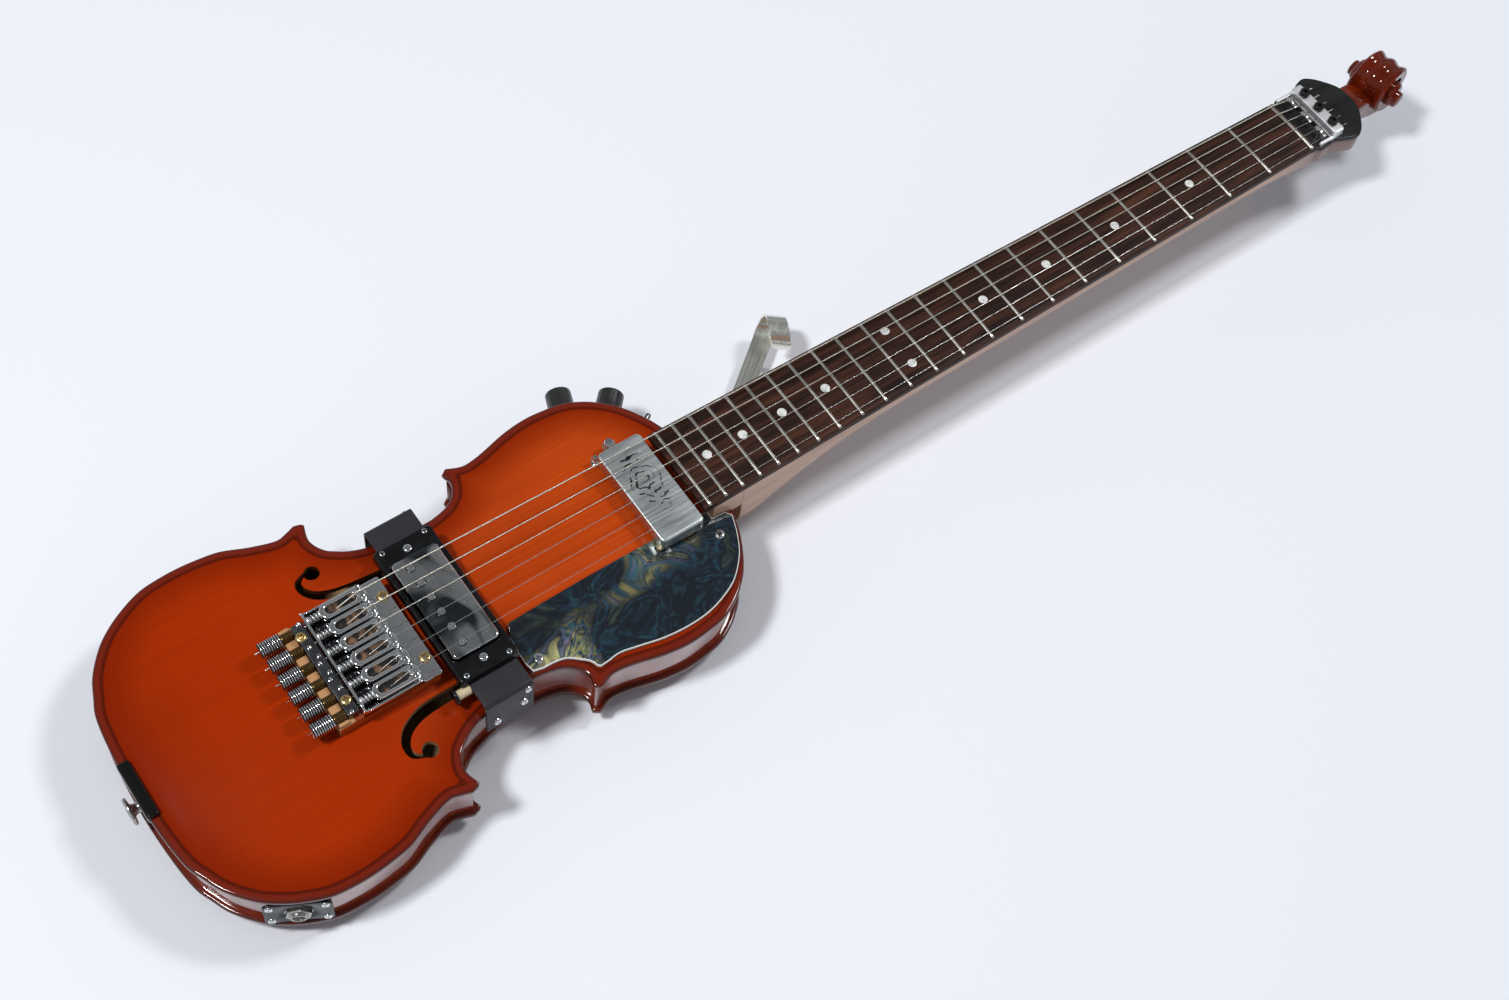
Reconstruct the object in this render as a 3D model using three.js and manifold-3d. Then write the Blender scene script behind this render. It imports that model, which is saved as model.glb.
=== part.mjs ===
import * as THREE from 'three';
import { mergeVertices } from 'three/addons/utils/BufferGeometryUtils.js';
import Module from 'manifold-3d';

const wasm = await Module();
wasm.setup();

// A six string headless guitar with the body and the scroll of a full size violin, in millimetres.
// x runs along the strings from the tail to the scroll and is 0 at the zero fret, y points to the
// bass side, z points up and is 0 at the tops of the fret ends.

// General
const seatGap = 0.3;
const overrun = 2;

// Scale, fingerboard and frets
const scaleLength = 648;
const fretCount = 22;
const fretLengthAtNut = 39.5;
const fretLengthAtBody = 54.5;
const fretHeight = 1;
const fretWidth = 2.2;
const fretEndInset = 1;
const boardCrown = 0.7;
const boardThickness = 4.2;
const boardPastNut = 2.6;
const boardPastLastFret = 4;
const boardPastBody = 24.2;

// Body
const bodyLength = 356;
const bodyWidth = 206;
const plateEdgeDrop = 19;
const plateEdgeThickness = 4;
const plateCentreThickness = 3;
const topRise = 10.5;
const backRise = 11.5;
const archStart = 11;
const ribHeight = 27.9;
const ribThickness = 1.6;
const plateOverhang = 2.8;
const restFlatDepth = 0.5;
const buttonRadius = 11;
const blockWidth = 46;
const neckBlockLength = 20;
const endBlockLength = 18;

// Sound holes
const holeEyeRadius = 4.5;
const holeUpperEyeRadius = 3.2;

// Neck, heel and head
const neckDepthAtNut = 16.8;
const neckDepthAtBody = 18.8;
const neckSideDrop = 4;
const heelLength = 42;
const heelRun = 34;
const tongueLength = 18;
const tenonLength = 8;
const tenonWidth = 23.4;
const voluteDepth = 10;
const voluteLength = 28;
const voluteRun = 70;
const headLength = 50;
const headWidth = 45;
const headThickness = 11.5;
const headPlateThickness = 3;
const headPlateDrop = 2.2;

// Scroll
const scrollCentreAhead = 40;
const scrollCentreSide = 4.5;
const scrollCentreDrop = 14.5;
const scrollRadius = 21;
const scrollTurnRadius = 14.5;
const scrollEyeRadius = 8;
const scrollWidth = 20;
const scrollTurnWidth = 29;
const scrollEyeWidth = 38;
const scrollYaw = 9 * Math.PI / 180;
const scrollRootLength = 20;
const scrollRootWidth = 21;
const scrollRootThickness = 12;

// Strings
const stringCount = 6;
const stringSpacingAtNut = 7.2;
const stringSpacingAtBridge = 10.8;
const stringSpacingAtClamp = 6.6;
const thinString = 0.28;
const thickString = 0.62;
const bridgeBreakPastScale = 7.5;
const stringHeightAtBridge = 5.2;
const stringAnchorDrop = 1.55;
const stringDiveRun = 15.5;
const stringHeightAtClamp = -1.2;
const stringTailPastClamp = 8;
const stringTailPastBarrel = 2.2;

// String clamp and string trees
const clampStart = 7;
const clampBarWidth = 7.5;
const clampBarThickness = 3.4;
const clampBaseThickness = 1;
const clampArmThickness = 1.8;
const clampWidth = 42;
const clampLength = 19;
const clampScrewPitch = 13.2;
const clampScrewRadius = 3.3;
const clampScrewHeadHeight = 2.9;
const clampScrewShank = 1.5;
const clampHexAcross = 2.9;
const clampHexDepth = 1.6;
const treeAhead = 12.3;
const treeSpan = 9.5;
const treeBarWidth = 2.4;
const treeBarHeight = 1.5;
const treePostRadius = 0.9;

// Bridge
const bridgeAheadOfBreak = 15.5;
const bridgeLength = 46.5;
const bridgeWidth = 66.8;
const bridgePlateThickness = 1.6;
const bridgePlateDrop = 2.6;
const bridgeRimThickness = 1.2;
const bridgeRimHeight = 3.1;
const bridgeLipHeight = 7.1;
const riserPastPlate = 14;
const riserInset = 1;
const riserFingerHeight = 2.4;
const riserGrooveWidth = 6.2;
const saddleAheadOfBreak = 5;
const saddleLength = 27;
const saddleWidth = 9.4;
const saddleWall = 1.5;
const saddleEndWall = 4;
const saddleHeight = 3.9;
const saddleLift = 2.1;
const saddleScrewRadius = 1;
const stringHoleRadius = 1.1;

// Tuners
const tunerBarGap = 0.8;
const tunerBarLength = 6.7;
const tunerBarWidth = 60;
const tunerBarHeight = 5.2;
const barrelRadius = 4.5;
const barrelNeckRadius = 2.3;
const barrelNeckLength = 6.6;
const barrelLength = 13;
const barrelRingDepth = 0.5;
const barrelRingWidth = 1.3;
const barrelBore = 0.95;

// Pickups, ring and bracket
const pickupLength = 66;
const pickupWidth = 28;
const pickupHeight = 9.5;
const pickupCorner = 2.4;
const pickupEdge = 1.2;
const neckPickupPastBoard = 3.3;
const neckPickupTop = -0.9;
const neckPickupFootWidth = 22;
const bridgePickupGap = 7.5;
const bridgePickupTop = 1.8;
const ringLength = 92;
const ringWidth = 36.5;
const ringHeight = 5.5;
const ringTaper = 1.2;
const bracketPastPickup = 1.5;
const bracketWidth = 29;
const bracketThickness = 1.6;
const bracketSideGap = 1;
const bracketDrop = 29;

// Pickguard
const guardThickness = 2.4;

// Tail
const tailSaddleWidth = 35;
const tailSaddleLength = 6.5;
const tailSaddleHeight = 7.5;
const tailSaddleOverhang = 0.5;
const strapDrop = 36.5;
const strapStemRadius = 4;
const strapDiscRadius = 8;
const strapDiscThickness = 2.6;
const strapStemLength = 6.4;
const strapPinRadius = 2;
const strapPinLength = 16;

// Jack
const jackDrop = 38;
const jackPlateLength = 35;
const jackPlateHeight = 24.4;
const jackPlateThickness = 1.2;
const jackPlateCorner = 3;
const jackBushRadius = 4.6;
const jackNutAcross = 12.6;
const jackNutThickness = 2.2;
const jackBore = 3.2;
const jackLength = 24;
const jackBodyRadius = 7;

// Controls on the bass rib
const controlDrop = 37;
const controlInset = 2.2;
const knobRadius = 8;
const knobLength = 16;
const knobStandOff = 4.6;
const knobFlute = 0.5;
const shaftRadius = 3;
const shaftDepth = 5;
const potBushRadius = 4.4;
const potNutAcross = 11;
const potNutThickness = 2;
const potBodyRadius = 8;
const potBodyLength = 8;
const leverRadius = 1.3;
const leverLength = 15;
const leverTipRadius = 1.7;
const leverDepth = 3.6;
const leverBore = 2.1;
const toggleBushRadius = 3.1;
const toggleNutAcross = 8;
const toggleNutThickness = 1.8;
const toggleBushStandOff = 4.4;
const toggleBodyLength = 13;
const toggleBodyWidth = 8;
const toggleBodyDepth = 9;

// Leg rest
const legPivotInset = 3.8;
const legAngle = 37.2 * Math.PI / 180;
const legLength = 123;
const legWidth = 11;
const legThickness = 1.5;
const legHookRadius = 9;
const legHookDrift = 10.5;
const legHookTurn = 300 * Math.PI / 180;
const legScrewRadius = 2;
const legScrewHeadRadius = 4;
const legScrewHeadHeight = 2.2;
const legScrewLength = 9;

// Shares of the body length and of half its width, from the tail along one side to the neck
const lowerBoutShares = [
  [0.01, 0.466], [0.021, 0.568], [0.035, 0.675], [0.065, 0.806], [0.087, 0.869], [0.115, 0.927],
  [0.157, 0.985], [0.197, 1], [0.225, 1], [0.256, 0.99], [0.287, 0.971], [0.331, 0.908],
  [0.371, 0.869], [0.385, 0.88], [0.402, 0.899],
];
const lowerCornerShares = [[0.413, 0.888]];
const waistShares = [
  [0.417, 0.873], [0.4115, 0.816], [0.41, 0.777], [0.414, 0.728], [0.423, 0.68], [0.433, 0.653],
  [0.447, 0.621], [0.471, 0.587], [0.534, 0.539], [0.57, 0.541], [0.587, 0.544], [0.618, 0.573],
  [0.636, 0.627], [0.643, 0.689], [0.636, 0.754],
];
const upperBoutShares = [
  [0.649, 0.772], [0.674, 0.738], [0.697, 0.743], [0.716, 0.757], [0.761, 0.796], [0.801, 0.812],
  [0.834, 0.806], [0.871, 0.784], [0.904, 0.727], [0.921, 0.682], [0.941, 0.612], [0.963, 0.495],
  [0.979, 0.369],
];
// Width of the arched field, share of the body length against share of half the body width
const archFieldShares = [
  [0, 0.45], [0.03, 0.62], [0.08, 0.84], [0.15, 0.97], [0.22, 1], [0.3, 0.95], [0.38, 0.8],
  [0.46, 0.6], [0.54, 0.535], [0.6, 0.56], [0.66, 0.66], [0.74, 0.77], [0.82, 0.8], [0.9, 0.71],
  [0.95, 0.56], [1, 0.35],
];
const archFlatShare = 0.92;
const archFullnessShare = 0.6;

// Centre line of a sound hole: share of the body length, of half the width, and of the eye radius
const holeLineShares = [
  [0.374, 0.612, 0.2], [0.358, 0.575, 0.4], [0.357, 0.522, 0.5], [0.368, 0.462, 0.62],
  [0.39, 0.42, 0.7], [0.412, 0.402, 0.75], [0.46, 0.392, 0.7], [0.51, 0.378, 0.68],
  [0.54, 0.35, 0.55], [0.556, 0.3, 0.4], [0.558, 0.24, 0.2],
];
const holeEyeShares = [0.384, 0.594];
const holeUpperEyeShares = [0.558, 0.213];

// Pickguard outline: share of the body length and of half the body width, treble side
const guardShares = [
  [0.571, 0.315], [0.582, 0.235], [0.64, 0.232], [0.71, 0.227], [0.785, 0.227], [0.848, 0.224],
  [0.93, 0.225], [0.962, 0.245], [0.979, 0.315], [0.967, 0.42], [0.949, 0.53], [0.917, 0.64],
  [0.887, 0.692], [0.853, 0.727], [0.813, 0.737], [0.77, 0.724], [0.73, 0.692], [0.699, 0.67],
  [0.678, 0.677], [0.667, 0.678], [0.66, 0.667], [0.656, 0.63], [0.643, 0.586], [0.628, 0.546],
  [0.61, 0.531], [0.592, 0.528], [0.575, 0.515], [0.571, 0.46], [0.571, 0.385],
];

// Outline of the head from the nut, shares of the head length and of half the head width
const headShares = [
  [0.056, 0.92], [0.092, 1], [0.268, 1], [0.296, 0.924], [0.48, 1.09], [0.67, 1.2], [0.82, 0.933],
  [0.94, 0.6], [1, 0.178],
];

// Places of the fittings along their ribs, shares of the length of each rib line
const volumeShare = 0.228;
const toneShare = 0.295;
const toggleShare = 0.352;
const jackShare = 0.25;
const strapShare = 0.5;

// Wire wound strings on the bass side, plain strings on the treble side: share of the thickest
const stringThicknessShares = [0, 0.1, 0.22, 0.45, 0.72, 1];

// Derived sizes
const lastFret = -scaleLength * (1 - 2 ** (-fretCount / 12));
const boardEnd = lastFret - boardPastLastFret;
const bodyTopEnd = -boardEnd - boardPastBody;
const tail = -bodyTopEnd - bodyLength;
const halfBody = bodyWidth / 2;
const plateTop = -plateEdgeDrop;
const ribTop = plateTop - plateEdgeThickness - seatGap;
const ribBottom = ribTop - ribHeight + 2 * seatGap;
const backTop = ribBottom - seatGap;
const backBottom = backTop - plateEdgeThickness;
const boardTop = -fretHeight;
const boardBottom = boardTop - boardThickness;
const headPlateTop = boardTop - headPlateDrop;
const headPlateBottom = headPlateTop - headPlateThickness;
const headStart = boardPastNut + seatGap;
const headEnd = headStart + headLength;
const bridgeBreak = -scaleLength - bridgeBreakPastScale;
const bridgeFront = -bridgeBreak - bridgeAheadOfBreak;
const saddleFront = -bridgeBreak - saddleAheadOfBreak;
const neckPickupCentre = -boardEnd + neckPickupPastBoard + pickupWidth / 2;
const bridgePickupCentre = bridgeFront - bridgePickupGap - pickupWidth / 2;
const bracketFront = bridgePickupCentre - pickupWidth / 2 - bracketPastPickup;
const bridgeTop = -bridgePlateDrop;
const bridgeBottom = bridgeTop - bridgePlateThickness;
const bridgeRear = -bridgeFront - bridgeLength;
const riserTop = bridgeBottom - seatGap;
const tunerBarFront = bridgeRear - tunerBarGap;
const tunerBarRear = tunerBarFront - tunerBarLength;
const barrelStart = tunerBarRear - seatGap;
const barrelEnd = barrelStart - barrelNeckLength - barrelLength;
const archPeak = plateTop + topRise;
const bracketBottom = archPeak + seatGap;
const bracketTop = bracketBottom + bracketThickness;
const ringTop = bracketTop + ringHeight;
const legPivot = -bodyTopEnd - legPivotInset;
const legTop = backBottom - seatGap;

const root = new THREE.Group();

// Shape tools

function toSolid(geometry) {
  const plain = geometry.clone();
  plain.deleteAttribute('normal');
  plain.deleteAttribute('uv');
  const merged = mergeVertices(plain, 1e-4);
  const index = merged.index.array;
  const position = merged.attributes.position.array;
  return new wasm.Manifold(new wasm.Mesh({
    numProp: 3,
    vertProperties: Float32Array.from(position),
    triVerts: Uint32Array.from(index),
  }));
}

function toGeometry(solid) {
  const mesh = solid.getMesh();
  const geometry = new THREE.BufferGeometry();
  const position = new Float32Array(mesh.vertProperties.length / mesh.numProp * 3);
  for (let i = 0; i < position.length / 3; i += 1) {
    position[3 * i] = mesh.vertProperties[mesh.numProp * i];
    position[3 * i + 1] = mesh.vertProperties[mesh.numProp * i + 1];
    position[3 * i + 2] = mesh.vertProperties[mesh.numProp * i + 2];
  }
  geometry.setAttribute('position', new THREE.BufferAttribute(position, 3));
  geometry.setIndex(Array.from(mesh.triVerts));
  geometry.computeVertexNormals();
  return geometry;
}

function block(x0, x1, y0, y1, z0, z1) {
  const geometry = new THREE.BoxGeometry(Math.abs(x1 - x0), Math.abs(y1 - y0), Math.abs(z1 - z0));
  geometry.translate((x0 + x1) / 2, (y0 + y1) / 2, (z0 + z1) / 2);
  return toSolid(geometry);
}

function prism(points, z0, z1) {
  const shape = new THREE.Shape(points.map(([x, y]) => new THREE.Vector2(x, y)));
  const geometry = new THREE.ExtrudeGeometry(shape, {
    depth: Math.abs(z1 - z0),
    bevelEnabled: false,
    steps: 1,
  });
  geometry.translate(0, 0, Math.min(z0, z1));
  return toSolid(geometry);
}

// A side view in x and z, drawn across from y0 to y1
function sidePrism(points, y0, y1) {
  const shape = new THREE.Shape(points.map(([x, z]) => new THREE.Vector2(x, z)));
  const geometry = new THREE.ExtrudeGeometry(shape, {
    depth: Math.abs(y1 - y0),
    bevelEnabled: false,
    steps: 1,
  });
  geometry.rotateX(Math.PI / 2);
  geometry.translate(0, Math.max(y0, y1), 0);
  return toSolid(geometry);
}

function turnTo(geometry, from, direction) {
  const turn = new THREE.Quaternion();
  turn.setFromUnitVectors(new THREE.Vector3(0, 1, 0), direction.clone().normalize());
  geometry.applyQuaternion(turn);
  geometry.translate(from.x, from.y, from.z);
  return geometry;
}

function rod(from, to, radius, sides) {
  const direction = to.clone().sub(from);
  const geometry = new THREE.CylinderGeometry(radius, radius, direction.length(), sides);
  geometry.translate(0, direction.length() / 2, 0);
  return toSolid(turnTo(geometry, from, direction));
}

// A profile of radius and distance pairs, turned round the line from a point along a direction
function turned(profile, from, direction, sides) {
  const points = profile.map(([r, along]) => new THREE.Vector2(r, along));
  const geometry = new THREE.LatheGeometry(points, sides);
  return toSolid(turnTo(geometry, from, direction));
}

function hexagon(across, z0, z1) {
  const geometry = new THREE.CylinderGeometry(across / Math.sqrt(3), across / Math.sqrt(3), z1 - z0, 6);
  geometry.rotateX(Math.PI / 2);
  geometry.translate(0, 0, (z0 + z1) / 2);
  return toSolid(geometry);
}

// Rings of equal point counts joined into one closed skin
function loft(rings) {
  const count = rings[0].length;
  const position = [];
  rings.forEach((ring) => ring.forEach((p) => position.push(p.x, p.y, p.z)));
  const index = [];
  for (let i = 0; i + 1 < rings.length; i += 1) {
    for (let j = 0; j < count; j += 1) {
      const a = i * count + j;
      const b = i * count + (j + 1) % count;
      index.push(a, b, b + count);
      index.push(a, b + count, a + count);
    }
  }
  const last = (rings.length - 1) * count;
  for (let j = 1; j + 1 < count; j += 1) {
    index.push(0, j + 1, j);
    index.push(last, last + j, last + j + 1);
  }
  const geometry = new THREE.BufferGeometry();
  geometry.setAttribute('position', new THREE.Float32BufferAttribute(position, 3));
  geometry.setIndex(index);
  const solid = toSolid(geometry);
  if (solid.volume() > 0) {
    return solid;
  }
  geometry.setIndex(index.reverse());
  return toSolid(geometry);
}

// A round wire through its bends, with a mitred ring at each
function wire(points, radius, sides) {
  const up = new THREE.Vector3(0, 0, 1);
  const rings = points.map((point, i) => {
    const before = points[Math.max(i - 1, 0)];
    const after = points[Math.min(i + 1, points.length - 1)];
    const ahead = after.clone().sub(point).normalize();
    const behind = point.clone().sub(before).normalize();
    const along = ahead.add(behind).normalize();
    const side = along.clone().cross(up).normalize();
    const rise = side.clone().cross(along);
    return Array.from({ length: sides }, (_, n) => {
      const turn = 2 * Math.PI * n / sides;
      return point.clone()
        .addScaledVector(side, radius * Math.cos(turn))
        .addScaledVector(rise, radius * Math.sin(turn));
    });
  });
  return loft(rings);
}

function finish(color, roughness, metalness) {
  return new THREE.MeshStandardMaterial({ color, roughness, metalness });
}

function addPiece(name, solid, material, parent = root) {
  const mesh = new THREE.Mesh(toGeometry(solid), material);
  mesh.name = name;
  parent.add(mesh);
  return mesh;
}

// Body outline

function smoothLine(points) {
  const knots = points.map(([x, y]) => new THREE.Vector3(x, y, 0));
  return new THREE.CatmullRomCurve3(knots, false, 'centripetal');
}

function bodyPoints(shares, side) {
  return shares.map(([along, out]) => [tail + along * bodyLength, side * out * halfBody]);
}

const lowerBoutLine = smoothLine([
  ...bodyPoints(lowerBoutShares, -1).reverse(),
  [tail, 0],
  ...bodyPoints(lowerBoutShares, 1),
]);
const upperBoutLine = smoothLine([
  ...bodyPoints(upperBoutShares, 1),
  [-bodyTopEnd, 0],
  ...bodyPoints(upperBoutShares, -1).reverse(),
]);
const bassWaistLine = smoothLine(bodyPoints(waistShares, 1));
const trebleWaistLine = smoothLine(bodyPoints(waistShares, -1).reverse());
const lowerSteps = 36;
const upperSteps = 28;
const waistSteps = 16;

// Points of a line moved towards the inside of the body, going on straight past both ends
function insetLine(line, steps, inset, past) {
  const points = line.getSpacedPoints(steps);
  const out = points.map((p, i) => {
    const before = points[Math.max(i - 1, 0)];
    const after = points[Math.min(i + 1, points.length - 1)];
    const along = after.clone().sub(before).normalize();
    return [p.x + along.y * inset, p.y - along.x * inset];
  });
  if (past > 0) {
    const first = line.getTangentAt(0);
    const final = line.getTangentAt(1);
    const a = out[0];
    const b = out[out.length - 1];
    out.unshift([a[0] - first.x * past, a[1] - first.y * past]);
    out.push([b[0] + final.x * past, b[1] + final.y * past]);
  }
  return out;
}

function bodyOutline(grow) {
  return [
    ...insetLine(lowerBoutLine, lowerSteps, -grow, 0),
    ...bodyPoints(lowerCornerShares, 1),
    ...insetLine(bassWaistLine, waistSteps, -grow, 0),
    ...insetLine(upperBoutLine, upperSteps, -grow, 0),
    ...insetLine(trebleWaistLine, waistSteps, -grow, 0),
    ...bodyPoints(lowerCornerShares, -1),
  ];
}

// The margin between a line of the outline and a line inside it, run on past both ends
function margin(line, steps, inset, z0, z1) {
  const past = plateOverhang + overrun;
  const outer = insetLine(line, steps, -overrun, past);
  const inner = insetLine(line, steps, inset, past);
  return prism([...outer, ...inner.reverse()], z0 - overrun, z1 + overrun);
}

// The body brought in on all sides, as the ribs are from the edges of the plates
function insetBody(inset, z0, z1) {
  return prism(bodyOutline(0), z0, z1)
    .subtract(margin(lowerBoutLine, lowerSteps, inset, z0, z1))
    .subtract(margin(bassWaistLine, waistSteps, inset, z0, z1))
    .subtract(margin(upperBoutLine, upperSteps, inset, z0, z1))
    .subtract(margin(trebleWaistLine, waistSteps, inset, z0, z1));
}

// Arched plates

function between(table, t) {
  for (let i = 0; i + 1 < table.length; i += 1) {
    if (t <= table[i + 1][0]) {
      const share = (t - table[i][0]) / (table[i + 1][0] - table[i][0]);
      return table[i][1] + Math.max(share, 0) * (table[i + 1][1] - table[i][1]);
    }
  }
  return table[table.length - 1][1];
}

function archShare(x, y) {
  const along = (x - tail - archStart) / (bodyLength - 2 * archStart);
  if (along <= 0 || along >= 1) {
    return 0;
  }
  const half = between(archFieldShares, (x - tail) / bodyLength) * halfBody * archFlatShare;
  const across = Math.abs(y) / half;
  if (across >= 1) {
    return 0;
  }
  return Math.sin(Math.PI * along) ** archFullnessShare * (1 + Math.cos(Math.PI * across)) / 2;
}

const archColumns = 22;
const archRows = 12;

// A slab on a grid over the whole body, between two heights that swell with the arch
function archedSlab(low, lowRise, high, highRise) {
  const position = [];
  const index = [];
  const x0 = tail - overrun;
  const x1 = -bodyTopEnd + buttonRadius + overrun;
  const y0 = -halfBody - overrun;
  const y1 = halfBody + overrun;
  const archFrom = tail + archStart;
  const archTo = -bodyTopEnd - archStart;
  const columns = [x0];
  for (let i = 0; i + 2 <= archColumns; i += 1) {
    columns.push(archFrom + (archTo - archFrom) * i / (archColumns - 2));
  }
  columns.push(x1);
  const layers = [[low, lowRise], [high, highRise]];
  layers.forEach(([base, rise]) => {
    for (let i = 0; i <= archColumns; i += 1) {
      for (let j = 0; j <= archRows; j += 1) {
        const x = columns[i];
        const y = y0 + (y1 - y0) * j / archRows;
        position.push(x, y, base + rise * archShare(x, y));
      }
    }
  });
  const layer = (archColumns + 1) * (archRows + 1);
  const at = (i, j) => i * (archRows + 1) + j;
  for (let i = 0; i < archColumns; i += 1) {
    for (let j = 0; j < archRows; j += 1) {
      const a = at(i, j);
      const b = at(i + 1, j);
      const c = at(i + 1, j + 1);
      const d = at(i, j + 1);
      index.push(a, c, b, a, d, c);
      index.push(layer + a, layer + b, layer + c, layer + a, layer + c, layer + d);
    }
  }
  const wall = (a, b) => index.push(a, b, layer + b, a, layer + b, layer + a);
  for (let i = 0; i < archColumns; i += 1) {
    wall(at(i, 0), at(i + 1, 0));
    wall(at(i + 1, archRows), at(i, archRows));
  }
  for (let j = 0; j < archRows; j += 1) {
    wall(at(0, j + 1), at(0, j));
    wall(at(archColumns, j), at(archColumns, j + 1));
  }
  const geometry = new THREE.BufferGeometry();
  geometry.setAttribute('position', new THREE.Float32BufferAttribute(position, 3));
  geometry.setIndex(index);
  return toSolid(geometry);
}

// What a piece standing on the belly must keep out of
function bellyWithGap() {
  const height = plateTop + seatGap;
  return archedSlab(backBottom, 0, height, topRise);
}

// One sound hole on the side given as 1 for bass and -1 for treble
function soundHole(side) {
  const line = holeLineShares.map(([along, out, half]) => [
    tail + along * bodyLength,
    side * out * halfBody,
    half * holeEyeRadius,
  ]);
  const left = [];
  const right = [];
  line.forEach(([x, y, half], i) => {
    const before = line[Math.max(i - 1, 0)];
    const after = line[Math.min(i + 1, line.length - 1)];
    const along = new THREE.Vector2(after[0] - before[0], after[1] - before[1]).normalize();
    left.push([x - along.y * half, y + along.x * half]);
    right.unshift([x + along.y * half, y - along.x * half]);
  });
  const low = plateTop - plateEdgeThickness - overrun;
  const high = archPeak + overrun;
  const [along, out] = holeEyeShares;
  const [upperAlong, upperOut] = holeUpperEyeShares;
  const eye = new THREE.Vector3(tail + along * bodyLength, side * out * halfBody, low);
  const upperEye = new THREE.Vector3(tail + upperAlong * bodyLength, side * upperOut * halfBody, low);
  const up = (point) => new THREE.Vector3(point.x, point.y, high);
  return prism([...left, ...right], low, high)
    .add(rod(eye, up(eye), holeEyeRadius, 14))
    .add(rod(upperEye, up(upperEye), holeUpperEyeRadius, 10));
}

const varnish = finish(0xb4400c, 0.22, 0);
const ribVarnish = finish(0x78281a, 0.2, 0);
const maple = finish(0xbe967d, 0.45, 0);
const bareWood = finish(0xe1b98c, 0.7, 0);
const chrome = finish(0xb4b8bc, 0.12, 1);
const blackPaint = finish(0x1e1e20, 0.35, 0.2);

function tailSaddleSeat(gap) {
  const front = tail + tailSaddleLength + gap;
  const half = tailSaddleWidth / 2 + gap;
  return block(tail - overrun, front, -half, half, ribTop - gap, archPeak + overrun);
}

function topPlate() {
  const slab = archedSlab(
    plateTop - plateEdgeThickness,
    topRise + plateEdgeThickness - plateCentreThickness,
    plateTop,
    topRise,
  );
  return slab
    .intersect(prism(bodyOutline(0), backBottom, archPeak + overrun))
    .subtract(soundHole(1))
    .subtract(soundHole(-1))
    .subtract(tailSaddleSeat(seatGap));
}

function backPlate() {
  const slab = archedSlab(
    backBottom,
    -backRise,
    backTop,
    -backRise - plateEdgeThickness + plateCentreThickness,
  );
  const low = backBottom - backRise - overrun;
  const button = rod(
    new THREE.Vector3(-bodyTopEnd - buttonRadius / 2, 0, low),
    new THREE.Vector3(-bodyTopEnd - buttonRadius / 2, 0, backTop + overrun),
    buttonRadius * 3 / 2,
    20,
  );
  const restLevel = backBottom - backRise + restFlatDepth;
  return slab
    .intersect(prism(bodyOutline(0), low, backTop + overrun).add(button))
    .subtract(block(tail, -bodyTopEnd, -halfBody, halfBody, low, restLevel))
    .subtract(legScrewHole());
}

function ribStrip(line, steps) {
  const outer = insetLine(line, steps, plateOverhang, 0);
  const inner = insetLine(line, steps, plateOverhang + ribThickness, 0);
  return prism([...outer, ...inner.reverse()], ribBottom, ribTop);
}

// A point on the outer face of a rib, with the direction that points out of the body
function ribStation(line, share, drop) {
  const point = line.getPointAt(share);
  const along = line.getTangentAt(share);
  const out = new THREE.Vector3(-along.y, along.x, 0);
  const place = point.clone().addScaledVector(out, -plateOverhang);
  return { point: new THREE.Vector3(place.x, place.y, -drop), out };
}

const volumeStation = ribStation(upperBoutLine, volumeShare, controlDrop);
const toneStation = ribStation(upperBoutLine, toneShare, controlDrop);
const toggleStation = ribStation(upperBoutLine, toggleShare, controlDrop);
const jackStation = ribStation(lowerBoutLine, jackShare, jackDrop);
const strapStation = ribStation(lowerBoutLine, strapShare, strapDrop);

// A group whose z axis points out of the rib and whose y axis points up
function stationGroup({ point, out }) {
  const group = new THREE.Group();
  const up = new THREE.Vector3(0, 0, 1);
  const across = up.clone().cross(out);
  group.position.copy(point);
  group.quaternion.setFromRotationMatrix(new THREE.Matrix4().makeBasis(across, up, out));
  root.add(group);
  return group;
}

function stationHole({ point, out }, radius, depth) {
  const from = point.clone().addScaledVector(out, overrun);
  const to = point.clone().addScaledVector(out, -depth);
  return rod(from, to, radius, 16);
}

function upperRib(side) {
  const half = tenonWidth / 2 + seatGap;
  const keep = side > 0
    ? block(tail, 0, half, halfBody, backBottom, plateTop)
    : block(tail, 0, -halfBody, -half, backBottom, plateTop);
  const depth = ribThickness + overrun;
  return ribStrip(upperBoutLine, upperSteps)
    .intersect(keep)
    .subtract(stationHole(volumeStation, potBushRadius + seatGap, depth))
    .subtract(stationHole(toneStation, potBushRadius + seatGap, depth))
    .subtract(stationHole(toggleStation, toggleBushRadius + seatGap, depth));
}

function lowerRib() {
  const depth = ribThickness + overrun;
  return ribStrip(lowerBoutLine, lowerSteps)
    .subtract(stationHole(jackStation, jackBodyRadius + seatGap, depth + overrun))
    .subtract(stationHole(strapStation, strapPinRadius + seatGap, depth));
}

function waistRib(line) {
  const inset = plateOverhang + ribThickness + seatGap;
  return ribStrip(line, waistSteps)
    .subtract(margin(lowerBoutLine, lowerSteps, inset, ribBottom, ribTop))
    .subtract(margin(upperBoutLine, upperSteps, inset, ribBottom, ribTop));
}

function insideBody(box) {
  const inset = plateOverhang + ribThickness + seatGap;
  return box.intersect(insetBody(inset, ribBottom, ribTop));
}

function neckBlock() {
  const front = -bodyTopEnd - plateOverhang - tenonLength - seatGap;
  const half = blockWidth / 2;
  return insideBody(block(front - neckBlockLength, front, -half, half, ribBottom, ribTop));
}

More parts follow.
